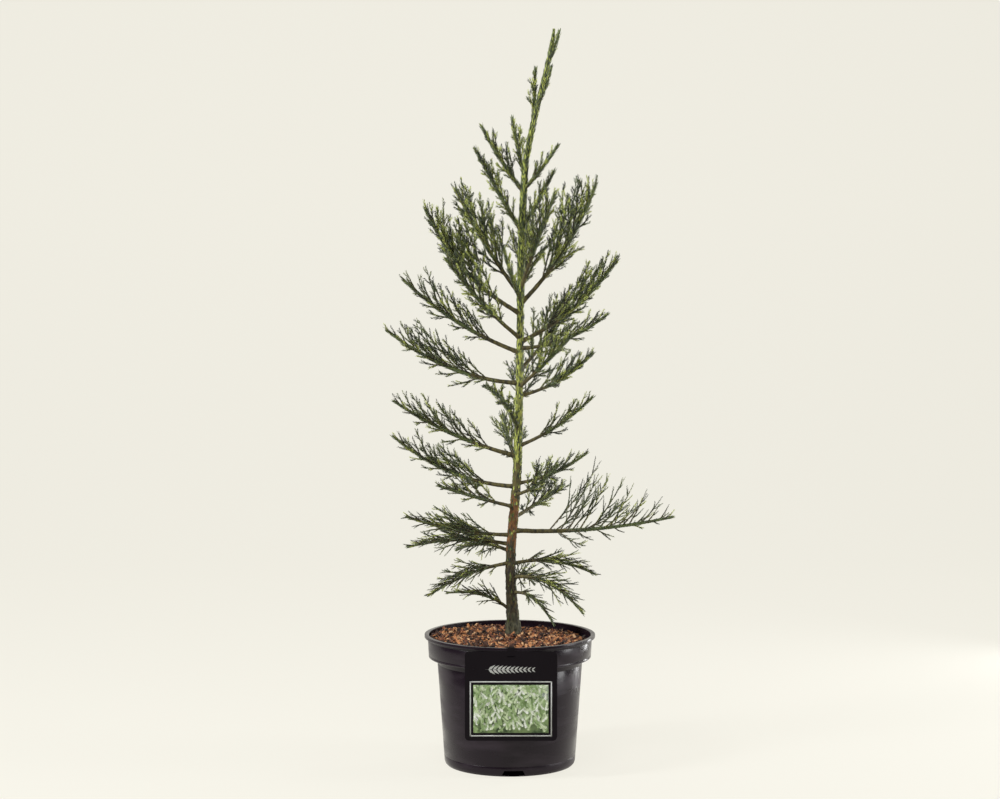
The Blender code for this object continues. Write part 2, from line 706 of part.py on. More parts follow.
def trunk_solid(name, sides, clearance, collection, material=None):
    """The tapering trunk, its foot drawn out in low ridges, or the same shape grown by a clearance."""
    bm = bmesh.new()
    heights = TRUNK_FOOT + (TRUNK_LINE[-1][2] - TRUNK_FOOT) * np.linspace(0.0, 1.0, TRUNK_RINGS) ** 1.35
    heights[0] -= clearance
    rings = []
    for height in heights:
        centre = trunk_point(max(height, TRUNK_FOOT))
        flare = math.exp(-max(0.0, height - TRUNK_FOOT) / FLARE_HEIGHT)
        ring = []
        for corner in range(sides):
            turn = 2.0 * math.pi * corner / sides
            ridge = 1.0 + FLARE_RIDGE_DEPTH * flare * math.cos(FLARE_RIDGES * turn)
            radius = trunk_radius(height) * ridge + clearance / math.cos(math.pi / sides)
            ring.append(bm.verts.new((centre[0] + radius * math.cos(turn),
                                      centre[1] + radius * math.sin(turn), height)))
        rings.append(ring)
    for low, high in zip(rings, rings[1:]):
        for corner in range(sides):
            bm.faces.new((low[corner - 1], low[corner], high[corner], high[corner - 1]))
    bm.faces.new(rings[0])
    bm.faces.new(rings[-1])
    return object_from_bmesh(name, bm, collection, material)


def build_bough(limb, end, collection, clearance, material):
    """The bare first part of a limb, cut to the trunk's round with a small gap."""
    steps = np.linspace(0.0, end, BOUGH_RINGS)
    radii = [limb_radius(limb, t) for t in steps]
    bough = loft(f"bough_{limb.name}", limb_point(limb, steps), radii, BOUGH_SIDES, collection, material)
    cut(bough, clearance)
    keep_largest_body(bough)
    shade_smooth(bough)
    return bough


def build_mass(limb, start, collection, clearance, material):
    """One mass: the limb's leafy part, its branchlets and the shoots that stand out of them, fused."""
    steps = np.linspace(start, 1.0, STEM_RINGS)
    radii = [limb_radius(limb, t) for t in steps]
    mass = loft(f"foliage_{limb.name}", limb_point(limb, steps), radii, STEM_SIDES, collection, material)
    loose = new_collection(f"twigs_{limb.name}")
    for twig in branchlets(limb, KEEP_EVERY):
        root = min(TWIG_ROOT_RADIUS, TWIG_LIMB_SHARE * limb_radius(limb, twig.place))
        loft("twig", twig_point(twig, ENDS), (root, 0.0), TWIG_SIDES, loose)
        for shoot in side_shoots(limb, twig)[1:1 + SHOOTS_KEPT]:
            loft("shoot", twig_point(shoot, ENDS), (SHOOT_ROOT_RADIUS, 0.0), TWIG_SIDES, loose)
    union = mass.modifiers.new("fuse", "BOOLEAN")
    union.operation = "UNION"
    union.operand_type = "COLLECTION"
    union.collection = loose
    union.solver = "MANIFOLD"
    apply_modifiers(mass)
    for obj in list(loose.objects):
        bpy.data.objects.remove(obj, do_unlink=True)
    bpy.data.collections.remove(loose)
    if start == 0.0:
        cut(mass, clearance, "MANIFOLD")
    keep_largest_body(mass)
    return mass


def build_plant(collection, cutters, bark, foliage):
    trunk = trunk_solid("trunk", TRUNK_SIDES, 0.0, collection, bark)
    shade_smooth(trunk)
    clearance = trunk_solid("trunk_clearance", TRUNK_SIDES, GAP, cutters)
    hide_cutter(clearance)
    for limb in LIMBS:
        length = LIMB_LENGTHS[limb.name]
        start = 0.0
        if length > BOUGH_MIN_LENGTH:
            build_bough(limb, BOUGH_SHARE - GAP / length, collection, clearance, bark)
            start = BOUGH_SHARE
        build_mass(limb, start, collection, clearance, foliage)


def main():
    clear_scene()
    collection = new_collection("potted_giant_sequoia")
    cutters = new_collection("cutters")
    plastic = principled("pot_plastic", (0.012, 0.010, 0.014), 0.32)
    compost = principled("bark_mix", (0.155, 0.052, 0.020), 0.90)
    card = principled("label_card", (0.010, 0.008, 0.010), 0.28)
    bark = principled("bark", (0.095, 0.075, 0.028), 0.80)
    foliage = principled("foliage", (0.060, 0.082, 0.040), 0.62)
    build_pot(collection, cutters, plastic)
    build_mix(collection, compost)
    build_label(collection, cutters, card)
    build_plant(collection, cutters, bark, foliage)


main()
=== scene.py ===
"""Looks of the potted glaucous giant sequoia: bark, leafy sprays, mulch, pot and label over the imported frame.

Metres, Z up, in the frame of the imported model. The origin is the centre of the pot's underside. Angles are in
degrees where no comment says radians.
"""
import random
from collections import namedtuple
from math import cos, degrees, exp, hypot, pi, radians, sin, sqrt

import bpy
import numpy as np
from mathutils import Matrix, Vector, noise


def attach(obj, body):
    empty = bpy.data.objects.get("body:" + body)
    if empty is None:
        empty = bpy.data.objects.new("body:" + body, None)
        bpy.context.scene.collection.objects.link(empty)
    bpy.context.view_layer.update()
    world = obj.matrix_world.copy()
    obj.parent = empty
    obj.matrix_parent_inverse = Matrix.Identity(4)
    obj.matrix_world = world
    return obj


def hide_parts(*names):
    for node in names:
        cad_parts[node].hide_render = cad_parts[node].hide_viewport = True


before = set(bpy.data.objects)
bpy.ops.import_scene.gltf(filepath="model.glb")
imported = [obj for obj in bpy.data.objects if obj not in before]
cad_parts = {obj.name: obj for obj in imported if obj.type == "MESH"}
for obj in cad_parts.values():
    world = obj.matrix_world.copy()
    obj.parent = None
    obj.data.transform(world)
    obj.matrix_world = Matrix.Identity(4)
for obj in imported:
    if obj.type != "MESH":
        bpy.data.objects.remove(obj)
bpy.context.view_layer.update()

GAP = 0.0003
UP = np.array([0.0, 0.0, 1.0])
EVEN = (1.0, 1.0, 1.0)
TINY = 1e-3
SQUARE = ((-1, -1), (1, -1), (1, 1), (-1, 1))
BOX_FACES = ((0, 1, 2, 3), (7, 6, 5, 4), (0, 4, 5, 1), (1, 5, 6, 2), (2, 6, 7, 3), (3, 7, 4, 0))

# Camera and light
CAMERA_PLACE = (-0.013, -3.0, 0.685)
CAMERA_DOWN = 3.88
CAMERA_LENS = 82.58
SENSOR_WIDTH = 36.0
BACKGROUND = (0.880, 0.856, 0.768)
STAGE_COLOUR = (0.085, 0.085, 0.080)
STAGE_ROUGHNESS = 0.95
STAGE_GLOSS = 0.10
STAGE_GLOW = 0.90
STAGE_HALF_WIDTH = 6.0
STAGE_FRONT = -4.0
STAGE_BACK = 1.6
STAGE_CURVE = 0.8
STAGE_CURVE_STEPS = 14
STAGE_TOP = 5.0
SKY_COLOUR = (1.0, 0.985, 0.95)
SKY_STRENGTH = 0.10
AreaLight = namedtuple("AreaLight", "place target size power")
AREA_LIGHTS = {
    "softbox_left": AreaLight((-1.6, -0.9, 1.5), (0.0, 0.0, 0.45), (0.30, 0.8), 46.0),
    "softbox_right": AreaLight((1.3, -0.10, 0.8), (0.0, 0.0, 0.35), (0.35, 1.4), 16.0),
    "strip_right": AreaLight((0.95, 0.75, 0.30), (0.0, 0.0, 0.12), (0.10, 0.9), 5.0),
    "softbox_top": AreaLight((-0.3, -1.0, 2.6), (0.0, 0.0, 0.5), (0.8, 0.6), 26.0),
}

# Finishes: dark and light colour, roughness, scale of the noise and strength of its relief
# The near-black, matt finish of the cut faces in the foot notches and drain holes is painted shade.
RECESS_PAINTED_SHADE_FINISH = ((0.0008, 0.0005, 0.0008), (0.002, 0.0015, 0.002), 0.90, 90.0, 0.4)
MIX_FINISH = ((0.018, 0.008, 0.004), (0.085, 0.030, 0.012), 0.92, 260.0, 0.9)
CHIP_FINISH = {
    "chip_dark": ((0.030, 0.011, 0.006), (0.075, 0.028, 0.012), 0.85, 420.0, 0.7),
    "chip_red": ((0.110, 0.034, 0.014), (0.210, 0.074, 0.030), 0.85, 420.0, 0.7),
    "chip_orange": ((0.300, 0.110, 0.036), (0.520, 0.230, 0.085), 0.82, 420.0, 0.7),
    "chip_black": ((0.012, 0.007, 0.005), (0.030, 0.014, 0.009), 0.88, 420.0, 0.7),
    "chip_tan": ((0.420, 0.220, 0.100), (0.640, 0.390, 0.200), 0.80, 420.0, 0.7),
}
PRINT_FINISH = {
    "print_grey": ((0.36, 0.37, 0.35), (0.44, 0.45, 0.43), 0.35, 200.0, 0.05),
    "print_ground": ((0.035, 0.070, 0.022), (0.200, 0.290, 0.110), 0.30, 85.0, 0.04),
    "print_mid": ((0.24, 0.36, 0.14), (0.36, 0.50, 0.22), 0.30, 150.0, 0.04),
    "print_pale": ((0.55, 0.68, 0.38), (0.70, 0.80, 0.54), 0.30, 150.0, 0.04),
    "print_white": ((0.84, 0.90, 0.74), (0.95, 0.97, 0.92), 0.30, 150.0, 0.04),
}
BARK_FINISH = {
    "bark_foot": ((0.022, 0.022, 0.011), (0.095, 0.090, 0.048), 0.85, 330.0, 0.8),
    "bark_dark": ((0.014, 0.010, 0.006), (0.070, 0.052, 0.020), 0.85, 330.0, 0.9),
    "bark_orange": ((0.045, 0.018, 0.008), (0.230, 0.110, 0.036), 0.85, 300.0, 1.0),
    "bark_olive": ((0.022, 0.018, 0.007), (0.110, 0.092, 0.028), 0.82, 300.0, 0.8),
    "bark_yellow_green": ((0.095, 0.100, 0.022), (0.360, 0.380, 0.075), 0.70, 260.0, 0.5),
    "bark_green": ((0.050, 0.068, 0.024), (0.120, 0.160, 0.056), 0.65, 260.0, 0.4),
}
TWIG_FINISH = {
    "twig_brown": ((0.050, 0.036, 0.016), (0.110, 0.085, 0.036), 0.75, 300.0, 0.4),
    "twig_green": ((0.045, 0.058, 0.024), (0.085, 0.108, 0.044), 0.65, 300.0, 0.3),
}
GLOSSY = 0.22
BARK_STRETCH = (1.0, 1.0, 0.35)
COLOUR_STOPS = (0.35, 0.65)
COLOUR_DETAIL = 5.0
ROUGHNESS_STOPS = (0.3, 0.7)
ROUGHNESS_SPREAD = 0.08
RELIEF_SCALE = 2.3
RELIEF_DEPTH = 0.0004
FINE_DEPTH = 0.0002
MIX_DEPTH = 0.0012

# Pot
POT_HEIGHT = 0.172
LIP_RADIUS = 0.1125
LIP_HEIGHT = 0.004
COLLAR_TOP_RADIUS = 0.1085
COLLAR_BOTTOM_RADIUS = 0.1070
COLLAR_BOTTOM = 0.142
WALL_TOP_RADIUS = 0.0960
WALL_BOTTOM_RADIUS = 0.0860
WALL = 0.0018
FLOOR_THICKNESS = 0.0025
FOOT_BEVEL = 0.0025
FOOT_WIDTH = 0.008
CHANNEL_HEIGHT = 0.004
CENTRE_PAD_RADIUS = 0.034
CHANNEL_SLOPE = 0.002
EDGE = 0.0006
LINE_DEPTH = 0.00035
POT_STEPS = 176
NOTCH_BOTTOM_WIDTH = 0.032
NOTCH_TOP_WIDTH = 0.024
NOTCH_HEIGHT = 0.008
NOTCH_ANGLES = (-87.0, 33.0, 153.0)
NOTCH_REACH = 0.010
NOTCH_BELOW = 0.005
NOTCH_DEPTH = 0.0002
DRAIN_RADIUS = 0.006
DRAIN_RING = 0.055
DRAIN_COUNT = 6
DRAIN_TURN = 15.0
DRAIN_SIDES = 24
UPPER_LINE_DROP = 0.0030
LOWER_LINE_RISE = 0.0035
NECK_HEIGHT = 0.0030
WALL_LINE_DROP = 0.0080
FOOT_LINE_HEIGHT = 0.0125
FOOT_TURN = 0.8
SHARP_ANGLE = 38.0
POT_COLOUR = (0.011, 0.006, 0.011)
POT_GLOSS = 0.24
POT_SCUFFS = ((0.52, (0.010, 0.005, 0.010)), (0.78, (0.034, 0.024, 0.034)))
POT_ROUGHNESS = ((0.42, 0.20), (0.72, 0.46))
POT_STRETCH = (1.0, 1.0, 3.5)
POT_WEAR = (14.0, 6.0)
POT_GRAIN = (420.0, 3.0)
POT_RELIEF = 0.10

# Potting mix
MIX_EDGE = 0.1645
MIX_TILT_X = -0.035
MIX_TILT_Y = -0.020
MIX_MOUND = 0.0065
MIX_MOUND_WIDTH = 0.045
MIX_LIMIT = 0.1000
MIX_BUMP = 0.0012
MIX_WAVE_X, MIX_WAVE_SHIFT, MIX_WAVE_Y = 151.0, 1.3, 173.0

# Mulch
MULCH_REACH = 0.1045
MULCH_GAP = 0.0135
CHIP_SEED = 11
CHIP_COUNT = 3400
CHIP_LENGTH = (0.0022, 0.0095)
CHIP_WIDTH_SHARE = (0.09, 0.34)
CHIP_MIN_WIDTH = 0.0007
CHIP_THICKNESS = (0.0005, 0.0015)
CHIP_TILTS = (24.0, 28.0)
CHIP_LIFT = (-0.0003, 0.0022)
CHIP_RAGGED = ((0.62, 1.0), (0.5, 1.0), (0.6, 1.2))
CHIP_TONES = (5, 5, 4, 5, 2)
FIBRE_SEED = 12
FIBRE_COUNT = 2200
FIBRE_RINGS = 6
FIBRE_LENGTH = (0.006, 0.020)
FIBRE_CURL = 1.2
FIBRE_RISE = (0.0, 0.0022)
FIBRE_RADIUS = (0.00012, 0.00032)
FIBRE_LIFT = 0.0012
FIBRE_TONES = (2, 4, 5, 1, 4)

# Label
LABEL_X = 0.0010
LABEL_FRONT = -(LIP_RADIUS + GAP + 0.0010)
FRAME_LEFT, FRAME_RIGHT, FRAME_BOTTOM, FRAME_TOP = -0.0507, 0.0524, 0.0598, 0.1293
FRAME_LINE = 0.0015
PICTURE_LEFT, PICTURE_RIGHT, PICTURE_BOTTOM, PICTURE_TOP = -0.0470, 0.0487, 0.0637, 0.1254
PRINT_THICKNESS = 0.00006
PRINT_GAP = 0.00001
CARD_COLOUR = (0.006, 0.004, 0.006)
CARD_GLOSS = 0.08
CARD_ROUGHNESS = ((0.35, 0.16), (0.7, 0.30))
CARD_NOISE = 35.0
CARD_WAVES = 60.0
CARD_RELIEF = 0.06
CARD_DEPTH = 0.0003
SPRIG_SEED = 21
SPRIG_COUNT = 480
SPRIG_TONES = (0, 2, 1, 0)
SPRIG_ANGLE = (0.6, 2.6)
SPRIG_LENGTH = (0.009, 0.016)
SPRIG_LEAVES = 7
SPRIG_LEAF = 0.0029
SPRIG_LAYER = 0.000004
SPRIG_STEM = 0.0006
SPRIG_LEAF_FIRST = 1.15
SPRIG_LEAF_LOSS = 0.6
SPRIG_LEAF_TURN = 0.62
SPRIG_LEAF_WIDTH = 0.32
PRINTED_OUTLINE = ((0.0, 0.0), (0.35, 0.5), (1.0, 0.0), (0.35, -0.5))
ORNAMENT = {"x": LABEL_X - 0.034, "z": 0.1450, "angle": 0.0, "length": 0.066, "leaves": 11,
            "leaf_length": 0.0095}

# Trunk
TRUNK_FOOT = 0.1720
TRUNK_LINE = (
    (0.0045, 0.0, 0.172), (0.0010, 0.0, 0.270), (0.0095, 0.0, 0.385), (0.0130, 0.0, 0.530),
    (0.0150, 0.0, 0.680), (0.0205, 0.0, 0.790), (0.0345, 0.0, 0.860), (0.0490, 0.0, 0.918),
    (0.0570, 0.0, 0.963),
)
TRUNK_TOP = TRUNK_LINE[-1][2]
TRUNK_TIP_RADIUS = 0.0009
TRUNK_TAPER_RADIUS = 0.0072
FLARE_RADIUS = 0.0042
FLARE_HEIGHT = 0.018
FLARE_RIDGES = 5
FLARE_RIDGE_DEPTH = 0.10
TRUNK_SIDES = 44
TRUNK_STEP = 0.0014
TRUNK_SINK = 0.0015
TRUNK_SAMPLES = 90
BARK_BANDS = (0.200, 0.290, 0.352, 0.395, 0.610)
BAND_BLUR = 0.028
BAND_GRAIN = (2.0, 60.0)
FISSURE_GRAIN = (2.2, 85.0)
FISSURE_DEPTH = 0.24
FISSURE_LEVEL = 0.2
FINE_SCALE = 3.1
FINE_SHARE = 0.5
SMOOTH_HEIGHT = 0.62
SMOOTH_FADE = 0.25
SMOOTH_RELIEF = 0.10

# Scale leaves pressed to the trunk. A zone is its lowest and highest height and their number.
SCALE_SEED = 7
SCALE_ZONES = ((0.180, 0.45, 420), (0.40, 0.66, 900), (0.60, TRUNK_TOP - 0.001, 3600))
SCALE_AHEAD = 0.003
SCALE_NUDGE = 1e-6
SCALE_SINK = 0.93
SCALE_LEAN = (5.0, 15.0)
SCALE_LENGTH = 0.0070
SCALE_LENGTHS = (0.7, 1.2)
SCALE_WIDTH = 0.0021
SCALE_WIDTHS = (0.8, 1.2)
SCALE_TONES = (0.16, 0.22, 0.26, 0.10, 0.26)
TRUNK_SHADE_BELOW = 0.30
YOUNG_FROM = 0.50
YOUNG_SPAN = 0.20
YOUNG_LEAN = 13.0
YOUNG_LENGTH = 0.0015
YOUNG_WIDTH_LOSS = 0.0003
TIP_LEAF_ABOVE = 0.004
TIP_LEAF_FADE = 0.03
TIP_LEAF_LEAST = 0.35

# Limbs: azimuth is measured from +X towards +Y, out and climb reach from the trunk's line to the limb's tip,
# and rise is the slope that it leaves the trunk at.
Limb = namedtuple("Limb", "name height azimuth out climb rise habit")
LIMBS = [Limb(*row) for row in (
    ("01_left", 0.200, 172, 0.088, 0.024, 45, "droop"),
    ("02_right_front", 0.226, 318, 0.074, -0.034, 15, "droop"),
    ("03_back_right", 0.238, 72, 0.105, -0.016, 18, "droop"),
    ("04_right_front", 0.246, 338, 0.102, -0.042, 14, "droop"),
    ("05_right", 0.264, 9, 0.114, -0.016, 14, "droop"),
    ("06_left_front", 0.266, 205, 0.118, -0.036, -4, "droop"),
    ("07_back_left", 0.280, 125, 0.130, -0.012, 12, "droop"),
    ("08_left", 0.290, 166, 0.143, -0.008, 10, "droop"),
    ("09_left_front", 0.303, 193, 0.142, 0.028, 2, "droop"),
    ("10_right", 0.309, 0, 0.212, 0.018, -3, "feather"),
    ("11_back_right", 0.325, 62, 0.150, 0.030, 10, "fan"),
    ("12_left_front", 0.340, 216, 0.122, 0.036, 14, "fan"),
    ("13_front_right", 0.356, 299, 0.108, 0.048, 12, "fan"),
    ("14_left", 0.367, 177, 0.163, 0.066, 2, "fan"),
    ("15_right", 0.371, 3, 0.093, 0.040, 8, "fan"),
    ("16_back", 0.392, 98, 0.135, 0.060, 18, "fan"),
    ("17_left", 0.407, 187, 0.163, 0.074, 14, "fan"),
    ("18_right", 0.420, 354, 0.098, 0.066, 22, "fan"),
    ("19_front_left", 0.438, 240, 0.090, 0.066, 62, "shoot"),
    ("20_back", 0.462, 88, 0.128, 0.068, 22, "fan"),
    ("21_right", 0.486, 14, 0.100, 0.055, 12, "plume"),
    ("22_front_right", 0.498, 307, 0.104, 0.068, 30, "plume"),
    ("23_left", 0.503, 180, 0.173, 0.069, 3, "fan"),
    ("24_back_right", 0.520, 58, 0.128, 0.082, 26, "plume"),
    ("25_left", 0.543, 185, 0.153, 0.096, 20, "fan"),
    ("26_right", 0.549, 340, 0.120, 0.046, 2, "fan"),
    ("27_right", 0.557, 6, 0.128, 0.107, 24, "plume"),
    ("28_front_left", 0.562, 219, 0.122, 0.104, 32, "plume"),
    ("29_left", 0.594, 188, 0.125, 0.137, 28, "plume"),
    ("30_back", 0.600, 84, 0.094, 0.120, 42, "plume"),
    ("31_right", 0.607, 2, 0.099, 0.158, 45, "plume"),
    ("32_back_left", 0.618, 140, 0.112, 0.140, 44, "plume"),
    ("33_front_right", 0.626, 304, 0.076, 0.122, 60, "plume"),
    ("34_front_left", 0.612, 246, 0.056, 0.068, 45, "shoot"),
    ("35_left", 0.700, 190, 0.062, 0.108, 58, "shoot"),
    ("36_right", 0.706, 24, 0.046, 0.074, 55, "shoot"),
    ("37_left", 0.752, 168, 0.056, 0.086, 52, "shoot"),
    ("38_back", 0.772, 118, 0.034, 0.078, 62, "shoot"),
    ("39_right", 0.756, 342, 0.046, 0.056, 45, "shoot"),
    ("40_leader", 0.842, 70, 0.008, 0.071, 88, "shoot"),
    ("41_leader", 0.866, 335, 0.019, 0.047, 60, "shoot"),
    ("42_leader", 0.922, 345, 0.014, 0.037, 60, "shoot"),
)]

# Habits: bare share at the limb's root, pitch of the branchlets, their length as a share of the limb's, the
# share of that at the root, their angle, lift and share underneath, how many there are to a pitch, and the
# pitch and lengths of the finest shoots
Habit = namedtuple("Habit", "bare pitch share start angle lift under steps tip_pitch tip_length")
HABITS = {
    "droop": Habit(0.14, 0.0050, 0.55, 0.60, 26, -0.06, 0.80, 2, 0.0115, (0.012, 0.030)),
    "feather": Habit(0.20, 0.0050, 0.66, 0.85, 48, 0.40, 0.45, 1, 0.0170, (0.010, 0.024)),
    "fan": Habit(0.20, 0.0048, 0.60, 0.60, 30, 0.20, 0.55, 1, 0.0095, (0.0055, 0.0135)),
    "plume": Habit(0.20, 0.0045, 0.68, 0.90, 28, 0.26, 0.45, 1, 0.0085, (0.005, 0.0120)),
    "shoot": Habit(0.14, 0.0046, 0.50, 0.75, 25, 0.20, 0.60, 1, 0.0075, (0.005, 0.0110)),
}
LIMB_ROOT_RADIUS = 0.0016
LIMB_RADIUS_BY_LENGTH = 0.0075
LIMB_TIP_SHARE = 0.45
LIMB_SAMPLES = 16
LIMB_SIDES = 12
LIMB_RINGS = 60
GREEN_FROM = 0.34
SHOOT_GREEN_FROM = 0.05
LIMB_SPACE_FROM = 0.06
LIMB_AXIS_STEP = 0.004
LIMB_SWELL = 0.35
LIMB_SWELL_REACH = 0.012
LIMB_RELIEF = 0.13
LIMB_GRAIN = 900.0
LIMB_GRAIN_ROUND = 3.0

# Branching rule
GOLDEN_TURN = 137.5
ROLL_SHARE = 0.60
UNDER_EVERY = 5
TIP_SHARE = 0.10
START_SLOPE = 2.5
LEAST_COUNT = 4
TWIG_JITTER = 0.5
TWIG_CHECKS = np.array([0.25, 0.5, 0.75, 1.0])
TRIALS = 4
SHRINK = 0.76
MIN_TWIG = 0.007
LENGTH_SPREAD = (0.62, 1.15)
UNDER_ROLL = (125.0, 175.0)
SIDE_LOSS = 0.30
ANGLE_AT_ROOT = 1.15
ANGLE_LOSS = 0.35
ANGLE_SPREAD = 8.0
LIFT_SPREAD = (0.6, 1.4)
SPACE_MARGIN = 0.0020
BELOW_WEIGHT = 2.2
LIMB_MARGIN = 0.0045
TRUNK_MARGIN = 0.0030
SHOOT_PITCH = 0.0075
SHOOT_START = 0.22
SHOOT_SHARE = 0.50
SHOOT_LENGTH = 0.040
SHOOT_MIN = 0.005
SHOOT_SPREAD = (0.60, 1.15)
SHOOT_ANGLE = (24.0, 36.0)
SHOOT_JITTER = 0.3
SHOOT_TAPER = 1.1
SHOOT_CHECKS = np.array([0.5, 1.0])
TIP_ANGLE = (22.0, 36.0)
TIP_JITTER = 0.4
TIP_LIMIT = 0.6
TIP_TAPER = 1.15
TIP_TURN = 40.0

# Leaves
# A habit's weights share the five greens out among its twigs: the drooping low limbs take more of the painted
# shade, the shoots at the top more of the painted highlight.
Foliage = namedtuple("Foliage", "length width angle pitch weights")
LEAVES = {
    "droop": Foliage(0.0036, 0.00100, 15.0, 0.00092, (4, 4, 4, 1, 2)),
    "feather": Foliage(0.0036, 0.00105, 16.0, 0.00092, (4, 4, 4, 1, 2)),
    "fan": Foliage(0.0043, 0.00125, 23.0, 0.00092, (4, 4, 5, 1, 3)),
    "plume": Foliage(0.0049, 0.00140, 25.0, 0.00092, (3, 4, 5, 1, 5)),
    "shoot": Foliage(0.0052, 0.00150, 26.0, 0.00092, (2, 4, 5, 1, 6)),
}
# Five greens for the needles. The three middle ones are the foliage's own tones; the near-black first green is
# painted shade and the bright yellow-green last one is painted highlight, both given to whole twigs at random
# by weights.
GREENS = {
    "leaf_shade": (0.012, 0.017, 0.007),
    "leaf_deep": (0.030, 0.043, 0.015),
    "leaf_olive": (0.118, 0.145, 0.028),
    "leaf_grey": (0.105, 0.135, 0.058),
    "leaf_light": (0.400, 0.450, 0.090),
}
CORE_RADIUS = 0.00055
MIN_LEAVES = 3
LEAF_FACES = ((0, 1, 3), (0, 3, 2), (1, 4, 3), (3, 4, 2))
LEAF_WIDEST = 0.36
LEAF_KEEL = 0.34
LEAF_HOOK = 0.10
LEAF_TURNS = 6.28
LEAF_LEANS = (0.7, 1.35)
LEAF_LENGTHS = (0.78, 1.18)
LEAF_WIDTHS = (0.85, 1.15)
LEAF_END_LOSS = 0.30
LIGHTER_TIPS = 0.30

# Leaves on a limb's own stem, as shares of those on its twigs
STEM_PITCH = 0.55
STEM_END = 0.995
STEM_LEAN = 0.8
STEM_LEANS = (0.6, 1.4)
STEM_SINK = 0.85
STEM_LENGTH = 1.25
STEM_LENGTHS = (0.8, 1.2)
STEM_WIDTH = 1.2
STEM_TONES = (0.3, 0.45, 0.25)

# Leaf material and twigs
LEAF_SHADES = (0.82, 1.18)
LEAF_ROUGHNESS = 0.50
LEAF_GRAIN = 260.0
LEAF_RELIEF = 0.15
LEAF_SHEEN = 0.15
LEAF_SHEEN_TINT = (0.80, 0.90, 0.85, 1.0)
TWIG_RADII = (0.00115, 0.00085, 0.00060)
TWIG_TAPER = 0.75
TWIG_SIDES = ((0, 1), (1, 2), (2, 0))
TWIG_FACES = [face for a, b in TWIG_SIDES for face in ((a, b, b + 3), (a, b + 3, a + 3))]
TWIG_FACES += [(a + 3, b + 3, 6) for a, b in TWIG_SIDES]

Twig = namedtuple("Twig", "base heading length lift order")


# Small helpers

def unit(vector):
    return vector / np.linalg.norm(vector)


def units(vectors):
    return vectors / np.linalg.norm(vectors, axis=1, keepdims=True)


def compass(azimuth):
    angle = radians(azimuth)
    return np.array([cos(angle), sin(angle), 0.0])


def across(axis):
    """A level direction square to the axis."""
    side = np.cross(axis, UP)
    if np.linalg.norm(side) < TINY:
        side = np.array([1.0, 0.0, 0.0])
    return unit(side)


def sides_of(axes):
    """Level directions square to each axis, and the directions square to both."""
    side = np.cross(axes, UP)
    flat = np.linalg.norm(side, axis=1) < TINY
    side[flat] = (1.0, 0.0, 0.0)
    side = units(side)
    return side, np.cross(side, axes)


def round_turns(sides):
    """Turns in radians of the corners of a ring."""
    return [2.0 * pi * corner / sides for corner in range(sides)]


def ring_faces(rings, sides, start=0):
    """Quads between rings of points that follow each other."""
    faces = []
    for ring in range(rings - 1):
        low, high = start + ring * sides, start + (ring + 1) * sides
        for corner in range(sides):
            following = (corner + 1) % sides
            faces.append((low + corner, low + following, high + following, high + corner))
    return faces


def repeated(pattern, count, corners):
    """A pattern of faces for each of count copies that have so many corners."""
    return ((np.arange(count) * corners)[:, None, None] + np.array(pattern)[None]).reshape(-1, 3)


def add_object(name, data):
    obj = bpy.data.objects.new(name, data)
    bpy.context.scene.collection.objects.link(obj)
    return obj


def mesh_object(name, verts, faces, materials, indices=None, smooth=False):
    """Object of one mesh from arrays of points and of faces that all have as many corners."""
    verts = np.asarray(verts, dtype=np.float32)
    faces = np.asarray(faces, dtype=np.int32)
    count, corners = faces.shape
    mesh = bpy.data.meshes.new(name)
    mesh.vertices.add(len(verts))
    mesh.vertices.foreach_set("co", verts.ravel())
    mesh.loops.add(count * corners)
    mesh.loops.foreach_set("vertex_index", faces.ravel())
    mesh.polygons.add(count)
    mesh.polygons.foreach_set("loop_start", np.arange(0, count * corners, corners, dtype=np.int32))
    mesh.polygons.foreach_set("loop_total", np.full(count, corners, dtype=np.int32))
    for material in materials:
        mesh.materials.append(material)
    if indices is not None:
        mesh.polygons.foreach_set("material_index", np.asarray(indices, dtype=np.int32))
    mesh.update(calc_edges=True)
    mesh.validate()
    if smooth:
        mesh.shade_smooth()
    return add_object(name, mesh)


def place(obj, slot, *nodes):
    """The piece rides on the root and stands for the nodes, which it hides. The slot is not used."""
    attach(obj, "root")
    if nodes:
        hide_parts(*nodes)


def dress(node, material):
    """Give a CAD node that stays in the scene its material."""
    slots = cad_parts[node].data.materials
    slots.clear()
    slots.append(material)


# Materials

def preset(node, values):
    """Set inputs of a node by their names."""
    for name, value in values.items():
        node.inputs[name].default_value = value


def material_base(name, colour, roughness):
    material = bpy.data.materials.new(name)
    material.use_nodes = True
    shader = material.node_tree.nodes["Principled BSDF"]
    preset(shader, {"Base Color": (*colour, 1.0), "Roughness": roughness})
    material.diffuse_color = (*colour, 1.0)
    return material, material.node_tree, shader


def noise_node(tree, scale, detail=4.0, stretch=EVEN):
    coordinates = tree.nodes.new("ShaderNodeTexCoord")
    mapping = tree.nodes.new("ShaderNodeMapping")
    preset(mapping, {"Scale": stretch})
    texture = tree.nodes.new("ShaderNodeTexNoise")
    preset(texture, {"Scale": scale, "Detail": detail})
    tree.links.new(coordinates.outputs["Object"], mapping.inputs["Vector"])
    tree.links.new(mapping.outputs["Vector"], texture.inputs["Vector"])
    return texture.outputs["Fac"]


def ramp(tree, source, stops, target):
    """Two colours by a noise, led to a socket."""
    node = tree.nodes.new("ShaderNodeValToRGB")
    for element, (position, colour) in zip(node.color_ramp.elements, stops):
        element.position = position
        element.color = (*colour, 1.0)
    tree.links.new(source, node.inputs["Fac"])
    tree.links.new(node.outputs["Color"], target)


def roughen(tree, shader, source, stops):
    """Two roughnesses by a noise."""
    greys = [(position, (value, value, value)) for position, value in stops]
    ramp(tree, source, greys, shader.inputs["Roughness"])


def bump(tree, shader, source, strength, distance):
    node = tree.nodes.new("ShaderNodeBump")
    preset(node, {"Strength": strength, "Distance": distance})
    tree.links.new(source, node.inputs["Height"])
    tree.links.new(node.outputs["Normal"], shader.inputs["Normal"])


